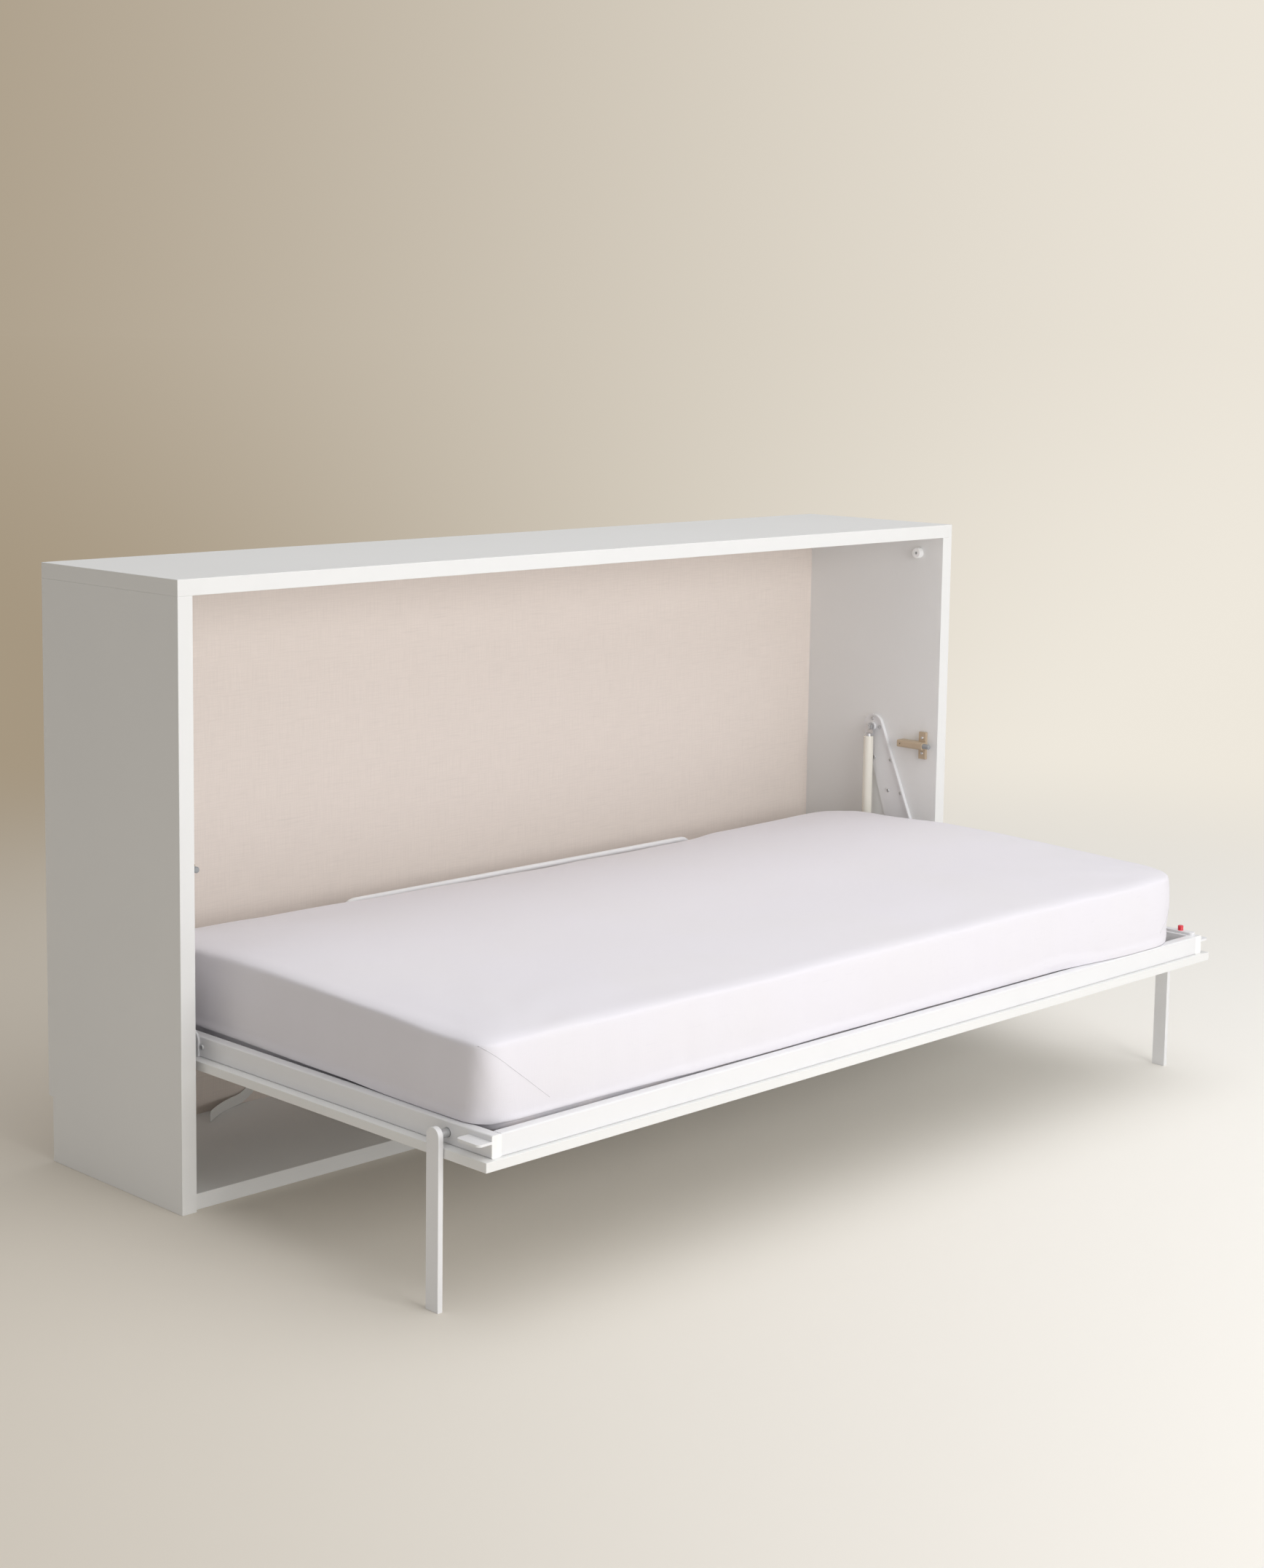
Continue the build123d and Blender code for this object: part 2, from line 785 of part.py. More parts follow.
def mattress_hoop():
    """Bent round tube that keeps the mattress in place at the rear; its feet stand in the rear tube."""
    foot = rail_middle
    top = rail_top + hoop_rise - hoop_radius
    half = hoop_half_length
    points = [(-half, hoop_y(), foot), (-half, hoop_y(), top), (half, hoop_y(), top), (half, hoop_y(), foot)]
    path = FilletPolyline(*points, radius=hoop_bend)
    section = Plane(origin=points[0], z_dir=(0, 0, 1)) * Circle(hoop_radius)
    return sweep(section, path=path)


def right_hinge_bracket():
    """Steel bracket on the side tube that carries the hinge pin."""
    face = (rail_outer, rail_outer + bracket_thickness)
    ring = round_x(bracket_radius, face, pivot_setback, pivot_height)
    foot = block(
        face,
        (pivot_setback - bracket_radius, pivot_setback + bracket_tail),
        (board_top + end_play, pivot_height),
    )
    bracket = ring + foot
    through = (face[0] - cut_overrun, face[1] + cut_overrun)
    bracket -= round_x(hinge_pin_radius, through, pivot_setback, pivot_height)
    for tool in right_bracket_bolts():
        bracket -= tool
    return bracket


def right_hinge_pin():
    """Round pin from the bracket into the cabinet's bush."""
    pin = round_x(hinge_pin_radius, (rail_outer, inner_face - end_play), pivot_setback, pivot_height)
    end = pin.faces().sort_by(Axis.X)[-1].edges()
    return chamfer(end, hinge_pin_radius / 8)


def right_bracket_bolts():
    """Two bolts through the bracket and a rivet in the tube ahead of it."""
    bolts = []
    face = rail_outer + bracket_thickness
    low = (board_top + pivot_height) / 2
    for step in (bracket_bolt_near, bracket_bolt_far):
        y = pivot_setback + step
        head = round_x(bracket_bolt_head, (face, face + bracket_bolt_head_height), y, low)
        shank = round_x(bracket_bolt_radius, (rail_outer - rail_width / 3, face), y, low)
        bolts.append(head + shank)
    y = pivot_setback - bracket_rivet_lead
    head = round_x(bracket_bolt_head, (rail_outer, rail_outer + bracket_bolt_head_height), y, rail_middle)
    shank = round_x(bracket_bolt_radius, (rail_outer - rail_width / 3, rail_outer), y, rail_middle)
    bolts.append(head + shank)
    return bolts


def right_stop_tab():
    """Flat tab with rounded outer corners on the side tube, near the front."""
    tab = block(
        (rail_outer, rail_outer + tab_width),
        (frame_front, frame_front + tab_length),
        (tab_bottom, tab_bottom + tab_thickness),
    )
    corners = tab.edges().filter_by(Axis.Z).sort_by(Axis.X)[-2:]
    return fillet(corners, tab_round)


def right_spring_lug():
    """Welded disc on the side tube that the gas spring's lower pin stands against."""
    return round_x(lug_radius, (rail_outer, rail_outer + lug_thickness), spring_y, rail_middle)


def right_leg_block():
    """Nylon block inside the side tube that the leg's shaft turns in."""
    half = leg_block_length / 2
    ends = (leg_y - half, leg_y + half)
    body = bar_y((rail_inner, rail_outer), ends, (board_top, rail_top), rail_wall + plug_clearance)
    bore = leg_shaft_radius + running_clearance
    return body - round_x(bore, (rail_inner, rail_outer), leg_y, rail_middle)


def right_leg():
    """Flat bar with a round top, standing on the floor."""
    half = leg_width / 2
    bar = block((leg_inner, leg_outer), (leg_y - half, leg_y + half), (0, rail_middle))
    bar += round_x(half, (leg_inner, leg_outer), leg_y, rail_middle)
    sides = [*bar.faces().sort_by(Axis.X)[0].edges(), *bar.faces().sort_by(Axis.X)[-1].edges()]
    return fillet(sides, leg_round)


def right_leg_shaft():
    """Round shaft from the leg into the block in the side tube."""
    end = rail_inner + rail_wall + plug_clearance
    return round_x(leg_shaft_radius, (end, leg_inner), leg_y, rail_middle)


def right_gas_cylinder():
    """Gas spring tube with its guide at the lower end."""
    low = rail_middle + spring_tube_bottom_gap
    high = spring_z - spring_tube_top_gap
    tube = round_z(spring_tube_radius, spring_x, spring_y, (low, high))
    rims = tube.edges().filter_by(GeomType.CIRCLE)
    tube = fillet(rims, spring_tube_radius - spring_bore_radius)
    tube -= round_z(spring_bore_radius, spring_x, spring_y, (low + spring_guide, high - spring_cap))
    guide = (low - cut_overrun, low + spring_guide)
    tube -= round_z(rod_radius + running_clearance, spring_x, spring_y, guide)
    return tube


def right_spring_fork():
    """End fitting on top of the tube: a round foot and a blade with the eye for the stud."""
    boss_end, blade, washer, nut = stud_layout()
    high = spring_z - spring_tube_top_gap
    foot = round_z(fork_base_radius, spring_x, spring_y, (high, high + fork_base))
    half = fork_width / 2
    web = block((spring_x, blade[1]), (spring_y - half, spring_y + half), (high, high + fork_base))
    upright = block(blade, (spring_y - half, spring_y + half), (high, spring_z))
    eye = round_x(half, blade, spring_y, spring_z)
    fitting = foot + web + upright + eye
    bore = stud_radius + running_clearance
    return fitting - round_x(bore, (blade[0] - cut_overrun, blade[1] + cut_overrun), spring_y, spring_z)


def right_gas_rod():
    """Polished rod with its piston inside the tube."""
    guide_top = rail_middle + spring_tube_bottom_gap + spring_guide
    piston_low = guide_top + spring_stroke + piston_margin
    rod = round_z(rod_radius, spring_x, spring_y, (rail_middle + rod_eye_radius / 2, piston_low))
    rod += round_z(
        spring_bore_radius - running_clearance, spring_x, spring_y, (piston_low, piston_low + piston_height)
    )
    across = (spring_x - rod_radius - cut_overrun, spring_x + rod_radius + cut_overrun)
    return rod - round_x(rod_eye_radius, across, spring_y, rail_middle)


def right_rod_eye():
    """Eye on the rod's lower end."""
    half = rod_eye_thickness / 2
    eye = round_x(rod_eye_radius, (spring_x - half, spring_x + half), spring_y, rail_middle)
    return eye - right_rod_pin()


def right_rod_pin():
    """Headed pin through the eye, its end facing the lug on the bed frame."""
    half = rod_eye_thickness / 2
    lug_face = rail_outer + lug_thickness
    head_start = spring_x + half
    pin = round_x(rod_pin_radius, (lug_face + end_play, head_start), spring_y, rail_middle)
    head = round_x(rod_pin_head, (head_start, head_start + rod_pin_head_height), spring_y, rail_middle)
    return pin + head


def button_place():
    """X and Y of the release button's middle."""
    return (rail_inner + rail_outer) / 2, frame_front + button_setback


def latch_housing():
    """Flat steel housing on the right side tube, with the button's hole."""
    x, y = button_place()
    half = latch_housing_width / 2
    start = frame_front + latch_setback
    high = rail_top + latch_housing_height
    body = block((x - half, x + half), (start, start + latch_housing_length), (rail_top, high))
    body = fillet(body.edges().filter_by(Axis.Z), half / 2)
    hole = button_radius + running_clearance
    return body - round_z(hole, x, y, (rail_top - cut_overrun, high + cut_overrun))


def latch_button():
    """Red cap that is pressed down into its housing."""
    x, y = button_place()
    low = rail_top + button_travel
    button = round_z(button_radius, x, y, (low, low + button_height))
    rim = button.faces().sort_by(Axis.Z)[-1].edges()
    return fillet(rim, button_round)


def both_sides(solids):
    """The given solids with their mirror images."""
    return [*solids, *[left_of(solid) for solid in solids]]


def save(name, *solids):
    """Writes one node, moved so that the origin is the middle of the object on the floor."""
    placed = []
    for solid in solids:
        moved = Pos(0, centre_shift, 0) * solid
        placed.extend(moved.solids())
    shape = placed[0] if len(placed) == 1 else Compound(children=placed)
    shape.label = name
    export_step(shape, os.path.join("parts", name + ".step"))


def save_pair(name, solid):
    """Writes the right piece and its mirror image for the left."""
    save("right_" + name, solid)
    save("left_" + name, left_of(solid))


def save_cabinet():
    save("top_panel", top_panel())
    save("bottom_panel", bottom_panel())
    save("back_panel", back_panel())
    save_pair("side_panel", right_side_panel())
    save("carcass_dowels", *both_sides(right_dowels()))
    save("wall_brackets", wall_bracket(-wall_bracket_spread), wall_bracket(wall_bracket_spread))
    save("wall_bracket_screws", *wall_bracket_screws())
    save_pair("mechanism_plate", right_mechanism_plate())
    save("mechanism_screws", *both_sides(plate_screws()))
    save_pair("hinge_bush", right_hinge_bush())
    save("spring_studs", *both_sides([right_spring_stud()]))
    save("spring_nuts", *both_sides([right_spring_nut()]))
    save("stop_pegs", *both_sides([right_stop_peg()]))
    save("peg_screws", *both_sides([peg_screw()]))
    save_pair("damper_housing", right_damper_housing())
    save("damper_screws", *both_sides(damper_screws()))
    save("strap", strap())
    save("strap_screw", strap_screw())


def save_bed():
    save("front_board", front_board_panel())
    save_pair("side_rail", right_side_rail())
    save("rail_end_caps", *both_sides(right_end_caps()))
    save("front_rail", front_rail())
    save("rear_rail", rear_rail())
    left_bar, right_bar = cross_bar_places()
    save("cross_bars", cross_bar(left_bar), cross_bar(right_bar))
    save("board_screws", *cross_bar_screws(left_bar), *cross_bar_screws(right_bar))
    save("slats", *slats())
    save("slat_saddles", *slat_saddles())
    save("mattress", mattress())
    save("mattress_hoop", mattress_hoop())
    save_pair("hinge_bracket", right_hinge_bracket())
    save("hinge_pins", *both_sides([right_hinge_pin()]))
    save("bracket_bolts", *both_sides(right_bracket_bolts()))
    save("stop_tabs", *both_sides([right_stop_tab()]))
    save("spring_lugs", *both_sides([right_spring_lug()]))
    save("leg_blocks", *both_sides([right_leg_block()]))
    save("latch_housing", latch_housing())


def save_moving():
    save_pair("leg", right_leg())
    save_pair("leg_shaft", right_leg_shaft())
    save_pair("gas_cylinder", right_gas_cylinder())
    save_pair("spring_fork", right_spring_fork())
    save_pair("gas_rod", right_gas_rod())
    save_pair("rod_eye", right_rod_eye())
    save_pair("rod_pin", right_rod_pin())
    save_pair("damper_plunger", right_damper_plunger())
    save("latch_button", latch_button())


os.makedirs("parts", exist_ok=True)
save_cabinet()
save_bed()
save_moving()
print("bed reach", round(bed_reach, 2), "centre shift", round(centre_shift, 2))
print("gas spring stroke", round(spring_stroke, 3), "plunger travel", round(plunger_travel, 2))
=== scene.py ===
"""The looks of a horizontal wall bed: finishes, fitted sheet, webbing, screws and a stage."""
import json
import math

import bmesh
import bpy
from bpy.props import FloatProperty, FloatVectorProperty, PointerProperty
from mathutils import Euler, Matrix, Vector, noise
from mathutils.bvhtree import BVHTree


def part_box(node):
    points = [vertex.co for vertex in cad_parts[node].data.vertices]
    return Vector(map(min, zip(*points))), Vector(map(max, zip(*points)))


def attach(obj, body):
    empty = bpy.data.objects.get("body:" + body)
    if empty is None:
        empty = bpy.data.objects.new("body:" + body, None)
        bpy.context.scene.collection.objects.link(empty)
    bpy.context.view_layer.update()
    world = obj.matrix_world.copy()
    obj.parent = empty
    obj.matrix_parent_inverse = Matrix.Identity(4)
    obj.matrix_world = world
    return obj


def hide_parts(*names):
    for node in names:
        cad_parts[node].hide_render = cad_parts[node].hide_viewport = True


bl_info = {
    "name": "Horizontal wall bed",
    "version": (1, 0, 0),
    "blender": (4, 5, 0),
    "location": "3D View > Sidebar > Wall Bed",
    "description": "Finishes, fitted sheet, webbing and screws of a bed in a low cabinet",
    "category": "Object",
}

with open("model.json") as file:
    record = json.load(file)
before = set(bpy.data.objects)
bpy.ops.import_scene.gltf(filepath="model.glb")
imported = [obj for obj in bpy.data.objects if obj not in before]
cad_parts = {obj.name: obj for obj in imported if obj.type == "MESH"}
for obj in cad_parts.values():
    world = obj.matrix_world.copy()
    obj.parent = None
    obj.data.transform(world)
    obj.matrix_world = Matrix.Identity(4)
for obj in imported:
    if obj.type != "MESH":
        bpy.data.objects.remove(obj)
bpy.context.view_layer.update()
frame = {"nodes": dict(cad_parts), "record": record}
MM = 0.001


class Socket:
    """An output of a shader node; Python's operators on it add Math nodes."""

    def __init__(self, finish, socket):
        self.finish = finish
        self.socket = socket

    def math(self, operation, first, second):
        return self.finish.add("ShaderNodeMath", {"operation": operation}, {0: first, 1: second})

    def __add__(self, other):
        return self.math("ADD", self, other)

    def __radd__(self, other):
        return self.math("ADD", other, self)

    def __rsub__(self, other):
        return self.math("SUBTRACT", other, self)

    def __mul__(self, other):
        return self.math("MULTIPLY", self, other)


class Finish:
    """A material in the making: its Principled shader and the nodes that feed it."""

    def __init__(self, name, colour, roughness, constants=None):
        self.material = bpy.data.materials.new(name)
        self.material.use_nodes = True
        self.tree = self.material.node_tree
        self.shader = self.tree.nodes["Principled BSDF"]
        self.colour = (*colour, 1)
        self.shader.inputs["Base Color"].default_value = self.colour
        self.shader.inputs["Roughness"].default_value = roughness
        for key, value in (constants or {}).items():
            self.shader.inputs[key].default_value = value

    def add(self, kind, settings=None, sockets=None, output=0):
        """A node of any kind: its settings first, then the values or links of its sockets."""
        node = self.tree.nodes.new(kind)
        for key, value in (settings or {}).items():
            setattr(node, key, value)
        for key, value in (sockets or {}).items():
            if isinstance(value, Socket):
                self.tree.links.new(value.socket, node.inputs[key])
            else:
                node.inputs[key].default_value = value
        return Socket(self, node.outputs[output]) if output is not None else None

    def feed(self, key, value):
        self.tree.links.new(value.socket, self.shader.inputs[key])

    def place(self, scale=(1, 1, 1)):
        """Object coordinates in metres, stretched by a scale on each axis."""
        coordinates = self.add("ShaderNodeTexCoord", output="Object")
        return self.add("ShaderNodeMapping", sockets={"Vector": coordinates, "Scale": scale})

    def noise(self, size, detail=3.0, roughness=0.5, stretch=(1, 1, 1)):
        """Noise with features of the given size in metres, drawn out by a stretch on each axis."""
        vector = self.place(tuple(1 / (size * factor) for factor in stretch))
        values = {"Vector": vector, "Scale": 1.0, "Detail": detail, "Roughness": roughness}
        return self.add("ShaderNodeTexNoise", sockets=values)

    def ramp(self, value, *stops):
        """Grey for a value, by two stops of a place and a shade each."""
        output = self.add("ShaderNodeValToRGB", sockets={"Fac": value})
        for element, (place, grey) in zip(output.socket.node.color_ramp.elements, stops):
            element.position = place
            element.color = (grey, grey, grey, 1)
        return output

    def tint(self, mask, colour):
        """Mixes the base colour with another one by a mask, over what feeds it already."""
        link = self.shader.inputs["Base Color"].links
        under = Socket(self, link[0].from_socket) if link else self.colour
        values = {0: mask, 6: under, 7: (*colour, 1)}
        mixed = self.add("ShaderNodeMix", {"data_type": "RGBA"}, values, output=2)
        self.feed("Base Color", mixed)

    def darken(self, value, low, high, strength, factor):
        """Passes to a darker base colour, up to a strength, as a value rises from low to high."""
        mask = self.ramp(value, (low, 0), (high, strength))
        self.tint(mask, shade(self.colour[:3], factor))

    def vary_roughness(self, value, low, high):
        self.feed("Roughness", low + value * (high - low))

    def bump(self, height, strength, distance):
        """Raises the surface by a height socket, over the bump that is there already."""
        link = self.shader.inputs["Normal"].links
        values = {"Height": height, "Strength": strength, "Distance": distance}
        if link:
            values["Normal"] = Socket(self, link[0].from_socket)
        self.feed("Normal", self.add("ShaderNodeBump", sockets=values))


def shade(colour, factor):
    return tuple(value * factor for value in colour)


def white_board_finish(colours):
    """Satin melamine: a fine pearl grain and faint marks of handling."""
    finish = Finish("white melamine", colours.board, 0.38, {"Specular IOR Level": 0.45})
    grain = finish.noise(0.0011, detail=2.0)
    cloud = finish.noise(0.35, detail=4.0)
    finish.darken(cloud, 0.42, 0.75, 0.35, 0.95)
    finish.vary_roughness(cloud, 0.32, 0.46)
    finish.bump(grain, 0.12, 0.00008)
    return finish.material


def laminate_finish(colours):
    """Matt laminate printed and pressed like linen, threads along X and along Z."""
    finish = Finish("linen laminate", colours.laminate, 0.62, {"Specular IOR Level": 0.3})
    weft = finish.noise(0.0016, detail=2.0, stretch=(34, 1, 1))
    warp = finish.noise(0.0016, detail=2.0, stretch=(1, 1, 34))
    slub = finish.noise(0.004, detail=3.0, stretch=(18, 1, 1))
    threads = weft + warp
    finish.darken(weft, 0.42, 0.70, 0.5, 0.90)
    finish.darken(warp, 0.42, 0.70, 0.5, 0.90)
    finish.darken(slub, 0.62, 0.76, 0.35, 0.86)
    finish.bump(threads, 0.25, 0.0003)
    return finish.material


def powder_coat_finish(colours):
    """White powder coat on steel, with its fine orange peel."""
    finish = Finish("white powder coat", colours.steel, 0.36,
                    {"Coat Weight": 0.15, "Coat Roughness": 0.25})
    peel = finish.noise(0.0022, detail=1.5)
    cloud = finish.noise(0.12, detail=3.0)
    finish.vary_roughness(cloud, 0.28, 0.44)
    finish.darken(cloud, 0.55, 0.85, 0.3, 0.93)
    finish.bump(peel, 0.18, 0.00015)
    return finish.material


def enamel_finish(colours):
    """Cream enamel of the gas springs: smooth and glossy."""
    finish = Finish("cream enamel", colours.enamel, 0.2,
                    {"Coat Weight": 0.5, "Coat Roughness": 0.08})
    cloud = finish.noise(0.03, detail=3.0)
    finish.vary_roughness(cloud, 0.16, 0.28)
    finish.darken(cloud, 0.5, 0.9, 0.3, 0.93)
    finish.bump(finish.noise(0.003, detail=1.0), 0.08, 0.0001)
    return finish.material


def zinc_finish(colours):
    """Bright zinc plate with spangle and fine drawing marks."""
    finish = Finish("zinc plate", colours.zinc, 0.34, {"Metallic": 1.0})
    spangle = finish.add("ShaderNodeTexVoronoi", {"feature": "F1"},
                         {"Vector": finish.place((400, 400, 400)), "Scale": 1.0})
    marks = finish.noise(0.0006, detail=2.0, stretch=(1, 1, 12))
    finish.darken(spangle, 0.2, 0.9, 0.4, 0.8)
    finish.vary_roughness(marks, 0.26, 0.46)
    finish.bump(marks, 0.1, 0.00005)
    return finish.material


def polished_rod_finish(colours):
    """Hard-chromed rod, with the thin film of oil that streaks it."""
    finish = Finish("polished rod", colours.zinc, 0.12, {"Metallic": 1.0})
    streaks = finish.noise(0.0015, detail=2.0, stretch=(1, 1, 40))
    finish.vary_roughness(streaks, 0.07, 0.2)
    return finish.material


def moulded_finish(name, colour, roughness, gloss_coat=0.0):
    """Moulded plastic: a spark-eroded grain and slight flow marks."""
    finish = Finish(name, colour, roughness, {"Coat Weight": gloss_coat, "Coat Roughness": 0.1})
    grain = finish.noise(0.0007, detail=2.0)
    flow = finish.noise(0.02, detail=3.0, stretch=(1, 2.5, 1))
    finish.darken(flow, 0.45, 0.8, 0.4, 0.85)
    finish.vary_roughness(flow, roughness - 0.06, roughness + 0.1)
    finish.bump(grain, 0.15, 0.00006)
    return finish.material


def wood_finish(name, colour, length_axis):
    """Lacquered wood: grain drawn out along one axis, with short dark flecks."""
    finish = Finish(name, colour, 0.42, {"Coat Weight": 0.2, "Coat Roughness": 0.3})
    stretch = tuple(30 if axis == length_axis else 1 for axis in range(3))
    fleck_stretch = tuple(7 if axis == length_axis else 1 for axis in range(3))
    grain = finish.noise(0.006, detail=5.0, roughness=0.6, stretch=stretch)
    fleck = finish.noise(0.0016, detail=2.0, stretch=fleck_stretch)
    finish.darken(grain, 0.35, 0.7, 0.8, 0.72)
    finish.darken(fleck, 0.62, 0.72, 0.7, 0.5)
    finish.vary_roughness(grain, 0.34, 0.5)
    finish.bump(grain, 0.2, 0.0002)
    return finish.material


def cotton_finish(colours):
    """Fine cotton of the fitted sheet: crossed threads, slubs and a soft nap."""
    finish = Finish("cotton sheet", colours.cotton, 0.86,
                    {"Sheen Weight": 0.1, "Sheen Roughness": 0.5, "Specular IOR Level": 0.2})
    along = finish.noise(0.0011, detail=2.0, stretch=(22, 1, 1))
    across = finish.noise(0.0011, detail=2.0, stretch=(1, 22, 22))
    slub = finish.noise(0.003, detail=3.0, stretch=(14, 1, 1))
    cloud = finish.noise(0.25, detail=3.0)
    finish.tint(finish.ramp(cloud, (0.4, 0), (0.8, 0.6)), colours.cotton_tint)
    finish.darken(slub, 0.62, 0.75, 0.35, 0.93)
    finish.bump(along + across, 0.3, 0.00025)
    finish.bump(finish.noise(0.02, detail=3.0), 0.25, 0.0006)
    return finish.material


def webbing_finish(colours):
    """Woven polyester band: ribs across it, with painted shade in the troughs between them, so
    each crest shows as a bright thread.
    """
    finish = Finish("woven webbing", colours.webbing, 0.72,
                    {"Sheen Weight": 0.2, "Specular IOR Level": 0.3})
    values = {"Vector": finish.place((1, 0, 1)), "Scale": 260.0, "Distortion": 0.6, "Detail": 1.0}
    ribs = finish.add("ShaderNodeTexWave", {"wave_type": "BANDS", "bands_direction": "DIAGONAL"},
                      values)
    threads = finish.noise(0.0008, detail=1.0, stretch=(6, 1, 1))
    # Painted shade: darker where the ribs' relief is lowest, in the troughs between them.
    finish.tint(finish.ramp(ribs, (0.2, 0.5), (0.8, 0)), shade(colours.webbing, 0.82))
    finish.bump(ribs + threads, 0.5, 0.0003)
    return finish.material


def thread_finish(colours):
    """Twisted sewing thread, a tenth darker than the sheet as painted shade for the dark line
    along the seam; its darker flecks follow the twist.
    """
    # Painted shade: the base colour is a tenth darker than the sheet's, for the seam's dark line.
    finish = Finish("sewing thread", shade(colours.cotton, 0.9), 0.7, {"Sheen Weight": 0.2})
    twist = finish.noise(0.0008, detail=1.0)
    finish.tint(finish.ramp(twist, (0.4, 0), (0.7, 0.6)), shade(colours.cotton, 0.75))
    finish.bump(twist, 0.4, 0.0002)
    return finish.material


def build_finishes(colours):
    """Every finish by the record's slot name, and the sewing thread besides."""
    return {
        "white_board": white_board_finish(colours),
        "back_laminate": laminate_finish(colours),
        "white_steel": powder_coat_finish(colours),
        "cream_steel": enamel_finish(colours),
        "zinc_steel": zinc_finish(colours),
        "polished_rod": polished_rod_finish(colours),
        "white_nylon": moulded_finish("white nylon", colours.nylon, 0.4),
        "black_plastic": moulded_finish("black plastic", colours.black, 0.5),
        "tan_plastic": moulded_finish("tan plastic", colours.damper, 0.38),
        "grey_plastic": moulded_finish("grey plastic", colours.plunger, 0.4),
        "red_plastic": moulded_finish("red plastic", colours.button, 0.28, 0.4),
        "beech_slat": wood_finish("beech slat", colours.beech, 1),
        "dowel_wood": wood_finish("beech dowel", colours.beech, 2),
        "cotton_sheet": cotton_finish(colours),
        "webbing": webbing_finish(colours),
        "thread": thread_finish(colours),
    }


FINISHES = {}


def mesh_data(name, mesh):
    """Mesh data from a finished bmesh, which is freed."""
    data = bpy.data.meshes.new(name)
    mesh.to_mesh(data)
    mesh.free()
    return data


def add_object(name, data):
    added = bpy.data.objects.new(name, data)
    bpy.context.scene.collection.objects.link(added)
    return added


def stand(place, direction, axis="Z"):
    """A matrix that moves to a place and turns one axis along a direction."""
    return Matrix.Translation(place) @ direction.to_track_quat(axis, "Y").to_matrix().to_4x4()


def subdivide_once(piece):
    finer = piece.modifiers.new("finer", "SUBSURF")
    finer.levels = 1
    finer.render_levels = 1


def new_piece(name, mesh, slot, body, finish=None, smooth=True):
    """Links a finished mesh as a piece that takes a slot's finish and rides on a body."""
    data = mesh_data(name, mesh)
    piece = add_object(name, data)
    data.materials.append(FINISHES[finish or slot])
    if smooth:
        data.shade_smooth()
    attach(piece, body)
    return piece


def smoothstep(value, low, high):
    """0 below low, 1 above high, and an even passage between them."""
    share = min(max((value - low) / (high - low), 0), 1)
    return share * share * (3 - 2 * share)


def waves(x, y, z):
    """Fixed noise at a place, between about -1 and 1."""
    return noise.noise(Vector((x, y, z)))


BLOCK_CUTS = (118, 58, 26)  # along, across and down the mattress
# Shares of a side's faces, from the top: to where the hem turns in, and to the end of that turn.
HEM_SHARE = 0.74
TURN_SHARE = 0.88
LEAST_CORNER = 20 * MM
LEAST_GAP = 0.4 * MM
FOOT_GAP = 0.5 * MM
# Heights above the rails between which the sheet's lean, and then its creases, set in.
LEAN_HEIGHTS = (0.1 * MM, 0.4 * MM)
CREASE_HEIGHTS = (1 * MM, 12 * MM)
# Distances inwards from the edge of the top between which the lean dies away.
LEAN_FADE = (0.02, 0.22)
ON_FACE = 1e-6  # how near to a face a point counts as on it


